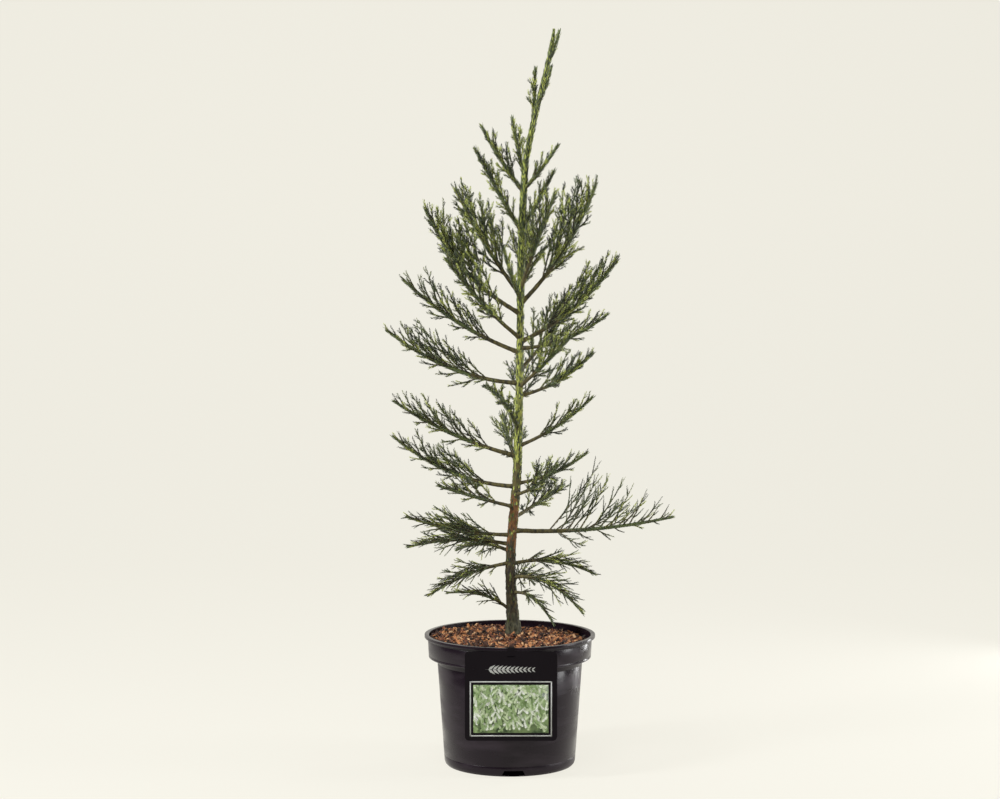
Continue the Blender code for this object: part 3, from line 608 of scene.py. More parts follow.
def mottled(name, dark, light, roughness, scale, relief, stretch=EVEN, distance=RELIEF_DEPTH):
    """Two near colours broken up by noise, with matching roughness and relief."""
    middle = tuple((a + b) / 2.0 for a, b in zip(dark, light))
    material, tree, shader = material_base(name, middle, roughness)
    source = noise_node(tree, scale, COLOUR_DETAIL, stretch)
    ramp(tree, source, zip(COLOUR_STOPS, (dark, light)), shader.inputs["Base Color"])
    ends = (roughness - ROUGHNESS_SPREAD, roughness + ROUGHNESS_SPREAD)
    roughen(tree, shader, source, zip(ROUGHNESS_STOPS, ends))
    bump(tree, shader, noise_node(tree, scale * RELIEF_SCALE, stretch=stretch), relief, distance)
    return material


def finishes(table, stretch=EVEN):
    """Mottled materials by name from a table of finishes."""
    return {name: mottled(name, *finish, stretch=stretch) for name, finish in table.items()}


def leaf_material(name, colour):
    """A lightly mottled green with a slight wax bloom."""
    dark, light = (tuple(shade * value for value in colour) for shade in LEAF_SHADES)
    material = mottled(name, dark, light, LEAF_ROUGHNESS, LEAF_GRAIN, LEAF_RELIEF, distance=FINE_DEPTH)
    shader = material.node_tree.nodes["Principled BSDF"]
    preset(shader, {"Sheen Weight": LEAF_SHEEN, "Sheen Tint": LEAF_SHEEN_TINT})
    return material


def pot_material():
    """Black moulded plastic, scuffed in upright streaks."""
    material, tree, shader = material_base("pot_gloss", POT_COLOUR, GLOSSY)
    preset(shader, {"Specular IOR Level": POT_GLOSS})
    wear = noise_node(tree, *POT_WEAR, POT_STRETCH)
    ramp(tree, wear, POT_SCUFFS, shader.inputs["Base Color"])
    roughen(tree, shader, wear, POT_ROUGHNESS)
    bump(tree, shader, noise_node(tree, *POT_GRAIN), POT_RELIEF, FINE_DEPTH)
    return material


def card_material():
    """The label's dark glossy card, with long shallow waves."""
    material, tree, shader = material_base("label_gloss", CARD_COLOUR, GLOSSY)
    preset(shader, {"Specular IOR Level": CARD_GLOSS})
    roughen(tree, shader, noise_node(tree, CARD_NOISE), CARD_ROUGHNESS)
    bump(tree, shader, noise_node(tree, CARD_WAVES), CARD_RELIEF, CARD_DEPTH)
    return material


# Trunk, limbs and their branching rule

def trunk_point(height):
    """Point of the trunk's smooth centre line at a height."""
    heights = [point[2] for point in TRUNK_LINE]
    last = len(TRUNK_LINE) - 1
    span = max(0, min(last - 1, int(np.searchsorted(heights, height)) - 1))
    before, start, end, after = (np.array(TRUNK_LINE[max(0, min(last, span + k))]) for k in (-1, 0, 1, 2))
    t = (height - start[2]) / (end[2] - start[2])
    curve = 2 * start + (end - before) * t + (2 * before - 5 * start + 4 * end - after) * t ** 2
    curve = 0.5 * (curve + (3 * start - before - 3 * end + after) * t ** 3)
    curve[2] = height
    return curve


def trunk_radius(height):
    share = (height - TRUNK_FOOT) / (TRUNK_TOP - TRUNK_FOOT)
    flare = FLARE_RADIUS * exp(-(height - TRUNK_FOOT) / FLARE_HEIGHT)
    return TRUNK_TIP_RADIUS + (TRUNK_TAPER_RADIUS - TRUNK_TIP_RADIUS) * (1.0 - share) + flare


def limb_point(limb, t):
    """Point or points of a limb's line, an arc from the trunk's centre line at t = 0 to the tip at t = 1."""
    outward = compass(limb.azimuth)
    rise = radians(limb.rise)
    chord = limb.out * outward + limb.climb * UP
    bend = 0.5 * np.linalg.norm(chord) * (cos(rise) * outward + sin(rise) * UP)
    t = np.asarray(t, dtype=float)[..., None]
    return trunk_point(limb.height) + 2.0 * t * (1.0 - t) * bend + t * t * chord


def limb_axis(limb, t):
    """Direction of a limb's line."""
    step = 0.001
    return unit(limb_point(limb, t + step) - limb_point(limb, t - step))


def limb_length(limb):
    line = limb_point(limb, np.linspace(0.0, 1.0, LIMB_SAMPLES))
    return float(np.linalg.norm(np.diff(line, axis=0), axis=1).sum())


def limb_radius(limb, t):
    root = LIMB_ROOT_RADIUS + LIMB_RADIUS_BY_LENGTH * LIMB_LENGTHS[limb.name]
    return root * (1.0 - (1.0 - LIMB_TIP_SHARE) * t)


def reach_of_twigs(limb):
    return HABITS[limb.habit].share * LIMB_LENGTHS[limb.name]


LIMB_LENGTHS = {limb.name: limb_length(limb) for limb in LIMBS}
LIMB_LINES = {limb.name: limb_point(limb, np.linspace(LIMB_SPACE_FROM, 1.0, LIMB_SAMPLES)) for limb in LIMBS}
TRUNK_HEIGHTS = np.linspace(TRUNK_FOOT, TRUNK_TOP, TRUNK_SAMPLES)
TRUNK_CENTRES = np.array([trunk_point(height) for height in TRUNK_HEIGHTS])
TRUNK_RADII = np.array([trunk_radius(height) for height in TRUNK_HEIGHTS])


def distances(points, line):
    """Distance of each point to a line, plain and with the part below the line counted longer."""
    offset = points[:, None, :] - line[None, :, :]
    plain = np.linalg.norm(offset, axis=2).min(axis=1)
    offset[..., 2] *= np.where(offset[..., 2] < 0.0, BELOW_WEIGHT, 1.0)
    return plain, np.linalg.norm(offset, axis=2).min(axis=1)


def in_own_space(limb, points):
    """True where every point is nearer to its own limb than to any other, and clear of the trunk."""
    trunk = np.linalg.norm(points[:, None, :] - TRUNK_CENTRES[None, :, :], axis=2) - TRUNK_RADII[None, :]
    if trunk.min() < TRUNK_MARGIN:
        return False
    own = (distances(points, LIMB_LINES[limb.name])[1] + SPACE_MARGIN) / reach_of_twigs(limb)
    for other in LIMBS:
        if other.name == limb.name:
            continue
        plain, weighed = distances(points, LIMB_LINES[other.name])
        if plain.min() < LIMB_MARGIN or (weighed - SPACE_MARGIN < own * reach_of_twigs(other)).any():
            return False
    return True


def bent(base, heading, length, lift, t):
    """Points at shares t of twigs that bend up or down by their lift."""
    return base + length * (t * heading + 0.5 * lift * t * t * UP)


def twig_point(twig, t):
    return bent(twig.base, twig.heading, twig.length, twig.lift, np.asarray(t, dtype=float)[..., None])


def branch_off(axis, angle, roll):
    """Direction at an angle to the axis, rolled round it from its upper side."""
    side = across(axis)
    top = np.cross(side, axis)
    outward = cos(roll) * top + sin(roll) * side
    return unit(cos(angle) * axis + sin(angle) * outward)


def branchlet(limb, habit, index, count):
    """The limb's branchlet of that index, shortened until it keeps to its space, or None."""
    chance = random.Random(f"{limb.name} {index:g}")
    t = habit.bare + (1.0 - habit.bare) * (index + TWIG_JITTER * chance.random()) / count
    turn = index * GOLDEN_TURN % 360.0 - 180.0
    length = reach_of_twigs(limb) * (1.0 + TIP_SHARE - t) * chance.uniform(*LENGTH_SPREAD)
    length *= min(1.0, habit.start + (t - habit.bare) * START_SLOPE)
    if index % UNDER_EVERY == UNDER_EVERY - 2:
        roll = chance.choice((-1, 1)) * chance.uniform(*UNDER_ROLL)
        length *= habit.under
    else:
        roll = turn * ROLL_SHARE
        length *= 1.0 - SIDE_LOSS * abs(turn) / 180.0
    angle = habit.angle * (ANGLE_AT_ROOT - ANGLE_LOSS * t) + chance.uniform(-ANGLE_SPREAD, ANGLE_SPREAD)
    lift = habit.lift * chance.uniform(*LIFT_SPREAD)
    heading = branch_off(limb_axis(limb, t), radians(angle), radians(roll))
    for _ in range(TRIALS):
        twig = Twig(limb_point(limb, t), heading, length, lift, index)
        if length < MIN_TWIG:
            return None
        if in_own_space(limb, twig_point(twig, TWIG_CHECKS)):
            return twig
        length *= SHRINK
    return None


def branchlets(limb):
    """The limb's branchlets, on a habit of two steps with those of the rule's half steps as well."""
    habit = HABITS[limb.habit]
    count = max(LEAST_COUNT, int(LIMB_LENGTHS[limb.name] * (1.0 - habit.bare) / habit.pitch))
    grown = (branchlet(limb, habit, index / habit.steps, count) for index in range(habit.steps * count))
    return [twig for twig in grown if twig]


def shoot_from(twig, t, length, angle, turn, order):
    """A shoot that leaves a twig at share t, at an angle to it and at a turn round it."""
    axis = unit(twig.heading + twig.lift * t * UP)
    heading = branch_off(axis, radians(angle), radians(turn))
    return Twig(twig_point(twig, t), heading, length, twig.lift, order)


def side_shoots(limb, twig):
    """Side shoots of a branchlet, alternating round it, as far as they keep to the limb's space."""
    chance = random.Random(f"{limb.name} {twig.order:g} side")
    count = int(twig.length / SHOOT_PITCH)
    shoots = []
    for index in range(1, count):
        t = (index + SHOOT_JITTER * chance.random()) / count
        length = min(SHOOT_SHARE * twig.length * (SHOOT_TAPER - t), SHOOT_LENGTH)
        length *= chance.uniform(*SHOOT_SPREAD)
        angle = chance.uniform(*SHOOT_ANGLE)
        if t < SHOOT_START or length < SHOOT_MIN:
            continue
        shoot = shoot_from(twig, t, length, angle, index * GOLDEN_TURN, index)
        if in_own_space(limb, twig_point(shoot, SHOOT_CHECKS)):
            shoots.append(shoot)
    return shoots


def tip_shoots(twig, habit, chance):
    """The finest shoots, carried on from a branchlet or a side shoot."""
    count = int(twig.length / habit.tip_pitch)
    shoots = []
    for index in range(1, count):
        t = (index + TIP_JITTER * chance.random()) / count
        length = min(chance.uniform(*habit.tip_length), TIP_LIMIT * twig.length * (TIP_TAPER - t))
        angle = chance.uniform(*TIP_ANGLE)
        shoots.append(shoot_from(twig, t, length, angle, index * GOLDEN_TURN + TIP_TURN, index))
    return shoots


# Leaves, twigs and bark as joined meshes

def leaf_mesh(roots, directions, outwards, lengths, widths):
    """Awl leaves of four faces each: a keel, two edges and a point."""
    across_leaf = units(np.cross(directions, outwards))
    keel = units(np.cross(across_leaf, directions))
    lengths = lengths[:, None]
    widths = widths[:, None]
    middle = roots + LEAF_WIDEST * lengths * directions
    left = middle + 0.5 * widths * across_leaf
    right = middle - 0.5 * widths * across_leaf
    ridge = middle + LEAF_KEEL * widths * keel
    tip = roots + lengths * (directions - LEAF_HOOK * outwards)
    corners = (roots, left, right, ridge, tip)
    verts = np.stack(corners, axis=1).reshape(-1, 3)
    return verts, repeated(LEAF_FACES, len(roots), len(corners))


def leaning(axes, turns, leans):
    """Directions square to the axes at turns in radians, and those of leaves that lean out towards them."""
    side, top = sides_of(axes)
    outward = np.cos(turns) * side + np.sin(turns) * top
    return outward, np.cos(leans) * axes + np.sin(leans) * outward


def twig_arrays(twigs):
    """Bases, headings, lengths and lifts, the last two as columns."""
    base, heading, length, lift = (np.array([twig[field] for twig in twigs]) for field in range(4))
    return base, heading, length[:, None], lift[:, None]


def leaves_on(twigs, style, chance):
    """Leaves along twigs: roots, directions, outward directions, lengths and widths, and each leaf's twig."""
    counts = np.array([max(MIN_LEAVES, int(twig.length / style.pitch)) for twig in twigs])
    owner = np.repeat(np.arange(len(twigs)), counts)
    number = np.arange(len(owner)) - np.repeat(np.cumsum(counts) - counts, counts)
    t = ((number + 0.5) / counts[owner])[:, None]
    base, heading, length, lift = (values[owner] for values in twig_arrays(twigs))
    axis = units(heading + lift * t * UP)
    turn = np.radians(number * GOLDEN_TURN) + chance.random(len(twigs))[owner] * LEAF_TURNS
    lean = np.radians(style.angle * chance.uniform(*LEAF_LEANS, len(owner)))
    outward, direction = leaning(axis, turn[:, None], lean[:, None])
    size = style.length * chance.uniform(*LEAF_LENGTHS, len(owner)) * (1.0 - LEAF_END_LOSS * t[:, 0] ** 3)
    width = style.width * chance.uniform(*LEAF_WIDTHS, len(owner))
    root = bent(base, heading, length, lift, t) + 0.5 * CORE_RADIUS * outward
    return root, direction, outward, size, width, owner


def twig_mesh(twigs, radii):
    """Pointed three-sided twigs with a bend."""
    lines = twig_arrays(twigs)
    side, top = sides_of(lines[1])
    corners = []
    for t in (0.0, 0.5):
        radius = (radii * (1.0 - TWIG_TAPER * t))[:, None]
        for turn in round_turns(3):
            corners.append(bent(*lines, t) + radius * (cos(turn) * side + sin(turn) * top))
    corners.append(bent(*lines, 1.0))
    verts = np.stack(corners, axis=1).reshape(-1, 3)
    return verts, repeated(TWIG_FACES, len(twigs), len(corners))


def limb_frames(limb, t):
    """Points of a limb's line and its directions there."""
    axes = units(limb_point(limb, t + LIMB_AXIS_STEP) - limb_point(limb, t - LIMB_AXIS_STEP))
    return limb_point(limb, t), axes


def limb_leaves(limb, style, chance):
    """Leaves pressed along the green part of a limb's own stem."""
    start = SHOOT_GREEN_FROM if limb.habit == "shoot" else GREEN_FROM
    count = int(LIMB_LENGTHS[limb.name] * (1.0 - start) / (STEM_PITCH * style.pitch))
    t = np.linspace(start, STEM_END, count)
    point, axis = limb_frames(limb, t)
    turn = np.radians(np.arange(count) * GOLDEN_TURN)
    lean = np.radians(STEM_LEAN * style.angle * chance.uniform(*STEM_LEANS, count))
    outward, direction = leaning(axis, turn[:, None], lean[:, None])
    root = point + STEM_SINK * limb_radius(limb, t)[:, None] * outward
    size = STEM_LENGTH * style.length * chance.uniform(*STEM_LENGTHS, count)
    return root, direction, outward, size, np.full(count, STEM_WIDTH * style.width)


def mass_twigs(limb):
    """The mass's branchlets, side shoots and finest shoots in one list, and the level of each."""
    dice = random.Random(f"{limb.name} tips")
    main_twigs = branchlets(limb)
    shoots = [shoot for twig in main_twigs for shoot in side_shoots(limb, twig)]
    sprays = []
    for twig in main_twigs + shoots:
        sprays.extend(tip_shoots(twig, HABITS[limb.habit], dice))
    return main_twigs + shoots + sprays, np.repeat((0, 1, 2), (len(main_twigs), len(shoots), len(sprays)))


def grow_mass(limb, greens, twig_materials):
    """One mass: its leaves and its twigs, each kind joined into one piece."""
    chance = np.random.default_rng(int(limb.name[:2]))
    style = LEAVES[limb.habit]
    twigs, level = mass_twigs(limb)
    weights = np.array(style.weights, dtype=float)
    tone = chance.choice(len(weights), len(twigs), p=weights / weights.sum())
    # A share of the finest shoots take the next lighter green: partly the paler young growth, partly painted
    # light on the outside of the masses.
    lighter = (level == 2) * (chance.random(len(twigs)) < LIGHTER_TIPS)
    tone = np.clip(tone + lighter, 0, len(weights) - 1)
    *leaves, owner = leaves_on(twigs, style, chance)
    stem_leaves = limb_leaves(limb, style, chance)
    stem_tone = chance.choice(len(STEM_TONES), len(stem_leaves[0]), p=STEM_TONES) + 1
    tones = np.repeat(np.concatenate((tone[owner], stem_tone)), len(LEAF_FACES))
    verts, faces = leaf_mesh(*(np.concatenate(pair) for pair in zip(leaves, stem_leaves)))
    place(mesh_object(f"leaves_{limb.name}", verts, faces, greens, tones), "foliage", f"foliage_{limb.name}")
    verts, faces = twig_mesh(twigs, np.array(TWIG_RADII)[level])
    tones = np.repeat(np.minimum(level, 1), len(faces) // len(twigs))
    place(mesh_object(f"twigs_{limb.name}", verts, faces, twig_materials, tones), "foliage")


def limb_tube(limb, materials):
    """The limb's own stem with bark relief, brown at the trunk and green further out."""
    steps = np.linspace(0.0, 1.0, LIMB_RINGS)
    points, axes = limb_frames(limb, steps)
    verts = []
    for t, point, side, top in zip(steps, points, *sides_of(axes)):
        clear = min(1.0, np.linalg.norm(point - points[0]) / LIMB_SWELL_REACH)
        swell = 1.0 + LIMB_SWELL * (1.0 - clear)
        for turn in round_turns(LIMB_SIDES):
            spot = Vector(point * LIMB_GRAIN) + Vector((LIMB_GRAIN_ROUND * turn, 0.0, 0.0))
            radius = limb_radius(limb, t) * swell * (1.0 + LIMB_RELIEF * noise.noise(spot))
            verts.append(point + radius * (cos(turn) * side + sin(turn) * top))
    tones = np.repeat(steps[:-1] >= GREEN_FROM, LIMB_SIDES)
    faces = ring_faces(LIMB_RINGS, LIMB_SIDES)
    tube = mesh_object(f"limb_{limb.name}", verts, faces, materials, tones, smooth=True)
    bough = f"bough_{limb.name}"
    place(tube, "bark", *([bough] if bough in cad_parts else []))


def bark_spot(turn, height, grain):
    """Where a place on the trunk lies in a noise of that grain round it and up it."""
    return Vector((grain[0] * cos(turn), grain[0] * sin(turn), grain[1] * height))


def build_trunk(materials):
    """The trunk with fissured bark low down, smoother and greener further up."""
    heights = np.arange(TRUNK_FOOT - TRUNK_SINK, TRUNK_TOP, TRUNK_STEP)
    turns = round_turns(TRUNK_SIDES)
    verts = []
    for height in heights:
        centre = trunk_point(max(height, TRUNK_FOOT))
        flare = exp(-max(0.0, height - TRUNK_FOOT) / FLARE_HEIGHT)
        rough = max(SMOOTH_RELIEF, min(1.0, (SMOOTH_HEIGHT - height) / SMOOTH_FADE))
        for turn in turns:
            ridge = 1.0 + FLARE_RIDGE_DEPTH * flare * cos(FLARE_RIDGES * turn)
            spot = bark_spot(turn, height, FISSURE_GRAIN)
            fissure = abs(noise.noise(spot)) + FINE_SHARE * noise.noise(FINE_SCALE * spot)
            radius = trunk_radius(max(height, TRUNK_FOOT)) * ridge
            radius *= 1.0 + FISSURE_DEPTH * rough * (fissure - FISSURE_LEVEL)
            verts.append((centre[0] + radius * cos(turn), centre[1] + radius * sin(turn), height))
    blurred = [height + BAND_BLUR * noise.noise(bark_spot(turn, height, BAND_GRAIN))
               for height in heights[:-1] for turn in turns]
    faces = ring_faces(len(heights), TRUNK_SIDES)
    tones = np.searchsorted(BARK_BANDS, blurred)
    place(mesh_object("trunk_bark", verts, faces, materials, tones, smooth=True), "bark", "trunk")


def build_trunk_leaves(greens):
    """Scale leaves pressed to the trunk, sparse on the old bark and close on the young leader."""
    chance = np.random.default_rng(SCALE_SEED)
    heights = np.concatenate([chance.uniform(*zone) for zone in SCALE_ZONES])
    centres = np.array([trunk_point(height) for height in heights])
    ahead = np.array([trunk_point(min(TRUNK_TOP, height + SCALE_AHEAD)) for height in heights])
    radii = np.array([trunk_radius(height) for height in heights])[:, None]
    turn = chance.uniform(0.0, 2.0 * pi, len(heights))
    young = np.clip((heights - YOUNG_FROM) / YOUNG_SPAN, 0.0, 1.0)
    lean = np.radians(chance.uniform(*SCALE_LEAN, len(heights)) + YOUNG_LEAN * young)
    axes = units(ahead - centres + SCALE_NUDGE * UP)
    outward, direction = leaning(axes, turn[:, None], lean[:, None])
    size = (SCALE_LENGTH + YOUNG_LENGTH * young) * chance.uniform(*SCALE_LENGTHS, len(heights))
    size *= np.clip((TRUNK_TOP + TIP_LEAF_ABOVE - heights) / TIP_LEAF_FADE, TIP_LEAF_LEAST, 1.0)
    width = (SCALE_WIDTH - YOUNG_WIDTH_LOSS * young) * chance.uniform(*SCALE_WIDTHS, len(heights))
    verts, faces = leaf_mesh(centres + SCALE_SINK * radii * outward, direction, outward, size, width)
    tones = chance.choice(len(SCALE_TONES), len(heights), p=SCALE_TONES)
    tones = np.repeat(np.where(heights < TRUNK_SHADE_BELOW, tones // 2, tones), len(LEAF_FACES))
    place(mesh_object("trunk_leaves", verts, faces, greens, tones), "foliage")


# Pot, mulch and label

def wall_radius(height):
    share = height / COLLAR_BOTTOM
    return WALL_BOTTOM_RADIUS + (WALL_TOP_RADIUS - WALL_BOTTOM_RADIUS) * share


def collar_radius(height):
    share = (height - COLLAR_BOTTOM) / (POT_HEIGHT - COLLAR_BOTTOM)
    return COLLAR_BOTTOM_RADIUS + (COLLAR_TOP_RADIUS - COLLAR_BOTTOM_RADIUS) * share


def groove(radius_at, height):
    """Three profile points of a fine mould line round the pot."""
    return ((radius_at(height + EDGE), height + EDGE), (radius_at(height) - LINE_DEPTH, height),
            (radius_at(height - EDGE), height - EDGE))


def pot_profile():
    """Radius and height of each ring of the pot, from the floor inside over the rim to the floor outside."""
    lip_bottom = POT_HEIGHT - LIP_HEIGHT
    foot_inner = WALL_BOTTOM_RADIUS - FOOT_WIDTH
    floor_top = CHANNEL_HEIGHT + FLOOR_THICKNESS
    inner_floor = wall_radius(floor_top) - WALL
    mouth = COLLAR_TOP_RADIUS - WALL
    neck = COLLAR_BOTTOM - NECK_HEIGHT
    return (
        (inner_floor - FOOT_BEVEL, floor_top),
        (inner_floor, floor_top + FOOT_BEVEL),
        (wall_radius(COLLAR_BOTTOM) - WALL, COLLAR_BOTTOM),
        (COLLAR_BOTTOM_RADIUS - WALL, COLLAR_BOTTOM + WALL),
        (mouth, POT_HEIGHT - EDGE),
        (mouth + EDGE, POT_HEIGHT),
        (LIP_RADIUS - EDGE, POT_HEIGHT),
        (LIP_RADIUS - EDGE / 4.0, POT_HEIGHT - EDGE / 4.0),
        (LIP_RADIUS, POT_HEIGHT - EDGE),
        (LIP_RADIUS, lip_bottom + EDGE),
        (LIP_RADIUS - EDGE, lip_bottom),
        (collar_radius(lip_bottom), lip_bottom),
        *groove(collar_radius, lip_bottom - UPPER_LINE_DROP),
        *groove(collar_radius, COLLAR_BOTTOM + LOWER_LINE_RISE),
        (COLLAR_BOTTOM_RADIUS, COLLAR_BOTTOM + EDGE),
        (COLLAR_BOTTOM_RADIUS - EDGE, COLLAR_BOTTOM),
        (WALL_TOP_RADIUS + EDGE, COLLAR_BOTTOM - 2.0 * EDGE),
        (wall_radius(neck), neck),
        *groove(wall_radius, COLLAR_BOTTOM - WALL_LINE_DROP),
        *groove(wall_radius, FOOT_LINE_HEIGHT),
        (wall_radius(2.0 * FOOT_BEVEL), 2.0 * FOOT_BEVEL),
        (WALL_BOTTOM_RADIUS - EDGE, FOOT_TURN * FOOT_BEVEL),
        (WALL_BOTTOM_RADIUS - FOOT_BEVEL, 0.0),
        (foot_inner, 0.0),
        (foot_inner - CHANNEL_SLOPE, CHANNEL_HEIGHT),
        (CENTRE_PAD_RADIUS + CHANNEL_SLOPE, CHANNEL_HEIGHT),
        (CENTRE_PAD_RADIUS, 0.0),
    )


def build_pot(material):
    """The turned pot with mould lines, three notches in its foot and six holes in its floor."""
    profile = pot_profile()
    verts = [(radius * cos(turn), radius * sin(turn), height)
             for radius, height in profile for turn in round_turns(POT_STEPS)]
    faces = []
    for low in range(0, POT_STEPS * (len(profile) - 1), POT_STEPS):
        high = low + POT_STEPS
        for step in range(POT_STEPS):
            following = (step + 1) % POT_STEPS
            faces.append((low + step, high + step, high + following, low + following))
    caps = [tuple(range(POT_STEPS)), tuple(reversed(range(len(verts) - POT_STEPS, len(verts))))]
    mesh = bpy.data.meshes.new("pot_shell")
    mesh.from_pydata(verts, [], faces + caps)
    # The cut faces of the notches and drain holes take a near-black material without gloss: painted shade in
    # the recesses.
    recess = mottled("pot_recess", *RECESS_PAINTED_SHADE_FINISH)
    preset(recess.node_tree.nodes["Principled BSDF"], {"Specular IOR Level": 0.0})
    mesh.materials.append(material)
    mesh.materials.append(recess)
    mesh.validate()
    pot = add_object("pot_shell", mesh)
    for angle in NOTCH_ANGLES:
        cut_notch(pot, angle)
    for index in range(DRAIN_COUNT):
        cut_drain(pot, index * 360.0 / DRAIN_COUNT + DRAIN_TURN)
    pot.data.shade_smooth()
    pot.data.set_sharp_from_angle(angle=radians(SHARP_ANGLE))
    place(pot, "pot_plastic", "pot")


def subtract(pot, verts):
    """Cut a prism with its two ends' corners out of the pot. The cut faces take the near-black material of
    painted shade.
    """
    sides = len(verts) // 2
    faces = [tuple(reversed(range(sides))), tuple(range(sides, 2 * sides)), *ring_faces(2, sides)]
    mesh = bpy.data.meshes.new("cutter")
    mesh.from_pydata(verts, [], faces)
    for material in pot.data.materials:
        mesh.materials.append(material)
    mesh.polygons.foreach_set("material_index", [1] * len(faces))
    cutter = add_object("cutter", mesh)
    modifier = pot.modifiers.new("cut", "BOOLEAN")
    modifier.operation = "DIFFERENCE"
    modifier.solver = "EXACT"
    modifier.object = cutter
    depsgraph = bpy.context.evaluated_depsgraph_get()
    result = bpy.data.meshes.new_from_object(pot.evaluated_get(depsgraph))
    pot.modifiers.clear()
    pot.data = result
    bpy.data.objects.remove(cutter, do_unlink=True)


def cut_notch(pot, angle):
    """A trapezoid recess across the foot ring."""
    slope = (NOTCH_BOTTOM_WIDTH - NOTCH_TOP_WIDTH) / (2.0 * NOTCH_HEIGHT)
    outward, sideways = compass(angle), compass(angle + 90.0)
    verts = []
    for radius in (WALL_BOTTOM_RADIUS - WALL - NOTCH_DEPTH, WALL_BOTTOM_RADIUS + NOTCH_REACH):
        heights = (-NOTCH_BELOW, -NOTCH_BELOW, NOTCH_HEIGHT, NOTCH_HEIGHT)
        for side, height in zip((-1, 1, 1, -1), heights):
            half = NOTCH_BOTTOM_WIDTH / 2.0 - slope * height
            verts.append(tuple(radius * outward + side * half * sideways + height * UP))
    subtract(pot, verts)


def cut_drain(pot, angle):
    """A round drainage hole through the floor."""
    centre = DRAIN_RING * compass(angle)
    verts = []
    for height in (CHANNEL_HEIGHT - FLOOR_THICKNESS, CHANNEL_HEIGHT + 2.0 * FLOOR_THICKNESS):
        for step in range(DRAIN_SIDES):
            verts.append(tuple(centre + DRAIN_RADIUS * compass(360.0 * step / DRAIN_SIDES) + height * UP))
    subtract(pot, verts)


def mix_height(x, y):
    foot = trunk_point(TRUNK_FOOT)
    away = hypot(x - foot[0], y - foot[1])
    heap = MIX_EDGE + MIX_TILT_X * x + MIX_TILT_Y * y + MIX_MOUND * exp(-(away / MIX_MOUND_WIDTH) ** 2)
    return heap + MIX_BUMP * sin(MIX_WAVE_X * x + MIX_WAVE_SHIFT) * sin(MIX_WAVE_Y * y)


def scattered(chance, count, sizes_of):
    """Places on the mix clear of the trunk, with sizes drawn for each. The first size is the length."""
    foot = trunk_point(TRUNK_FOOT)
    while count:
        radius = MIX_LIMIT * sqrt(chance.random())
        spot = radius * compass(chance.uniform(0.0, 360.0))
        if hypot(spot[0] - foot[0], spot[1] - foot[1]) < MULCH_GAP:
            continue
        sizes = sizes_of(chance)
        if np.linalg.norm(spot[:2]) + sizes[0] <= MULCH_REACH:
            count -= 1
            yield spot, *sizes


def chip_sizes(chance):
    """Half the length, width and thickness of a chip."""
    long = chance.uniform(*CHIP_LENGTH)
    wide = max(CHIP_MIN_WIDTH, long * chance.uniform(*CHIP_WIDTH_SHARE))
    return long, wide, chance.uniform(*CHIP_THICKNESS)


def chip_axes(chance):
    """Length, width and thickness directions of a chip that lies or leans at random."""
    yaw = chance.uniform(0.0, 2.0 * pi)
    pitch, roll = (radians(chance.gauss(0.0, spread)) for spread in CHIP_TILTS)
    along = np.array([cos(yaw) * cos(pitch), sin(yaw) * cos(pitch), sin(pitch)])
    side = across(along)
    top = np.cross(side, along)
    cosine, sine = cos(roll), sin(roll)
    return along, cosine * side + sine * top, cosine * top - sine * side


def build_chips(materials):
    """Bark and coir chips of irregular outline, lying and standing on the mix."""
    chance = random.Random(CHIP_SEED)
    verts, faces, tones = [], [], []
    for spot, long, wide, thick in scattered(chance, CHIP_COUNT, chip_sizes):
        along, side, top = chip_axes(chance)
        centre = spot + (mix_height(spot[0], spot[1]) + chance.uniform(*CHIP_LIFT)) * UP
        faces.extend(tuple(len(verts) + corner for corner in face) for face in BOX_FACES)
        for level in (-1, 1):
            for a, b in SQUARE:
                reach, breadth, height = (chance.uniform(*spread) for spread in CHIP_RAGGED)
                verts.append(centre + a * long * reach * along + b * wide * breadth * side
                             + level * thick * height * top)
        tones.extend(chance.choices(range(len(CHIP_TONES)), CHIP_TONES) * len(BOX_FACES))
    place(mesh_object("mulch_chips", verts, faces, materials, tones), "bark_mix")


def fibre_sizes(chance):
    """Length of a fibre, and the azimuth that it starts at."""
    return chance.uniform(*FIBRE_LENGTH), chance.uniform(0.0, 360.0)


def build_fibres(materials):
    """Thin curved fibres among the chips."""
    chance = random.Random(FIBRE_SEED)
    verts, faces, tones = [], [], []
    quads = 3 * (FIBRE_RINGS - 1)
    for spot, length, yaw in scattered(chance, FIBRE_COUNT, fibre_sizes):
        curl = chance.uniform(-FIBRE_CURL, FIBRE_CURL)
        rise = chance.uniform(*FIBRE_RISE)
        radius = chance.uniform(*FIBRE_RADIUS)
        side = compass(yaw + 90.0)
        faces.extend(ring_faces(FIBRE_RINGS, 3, len(verts)))
        for ring in range(FIBRE_RINGS):
            t = ring / (FIBRE_RINGS - 1)
            point = spot + length * t * compass(yaw + degrees(curl) * t)
            height = mix_height(point[0], point[1]) + FIBRE_LIFT + 4.0 * rise * t * (1.0 - t)
            for turn in round_turns(3):
                verts.append(point + height * UP + radius * (cos(turn) * side + sin(turn) * UP))
        tones.extend(chance.choices(range(len(FIBRE_TONES)), FIBRE_TONES) * quads)
    place(mesh_object("mulch_fibres", verts, faces, materials, tones), "bark_mix")


# Label

def printed_boxes(name, outlines, material):
    """Thin boxes printed on the label's front, each from its left, right, bottom and top."""
    verts, faces = [], []
    for left, right, bottom, top in outlines:
        faces.extend(tuple(len(verts) + corner for corner in face) for face in BOX_FACES)
        corners = ((left, bottom), (right, bottom), (right, top), (left, top))
        for y in (LABEL_FRONT - PRINT_THICKNESS, LABEL_FRONT - PRINT_GAP):
            verts.extend((x, y, z) for x, z in corners)
    place(mesh_object(name, verts, faces, [material]), "label_card")


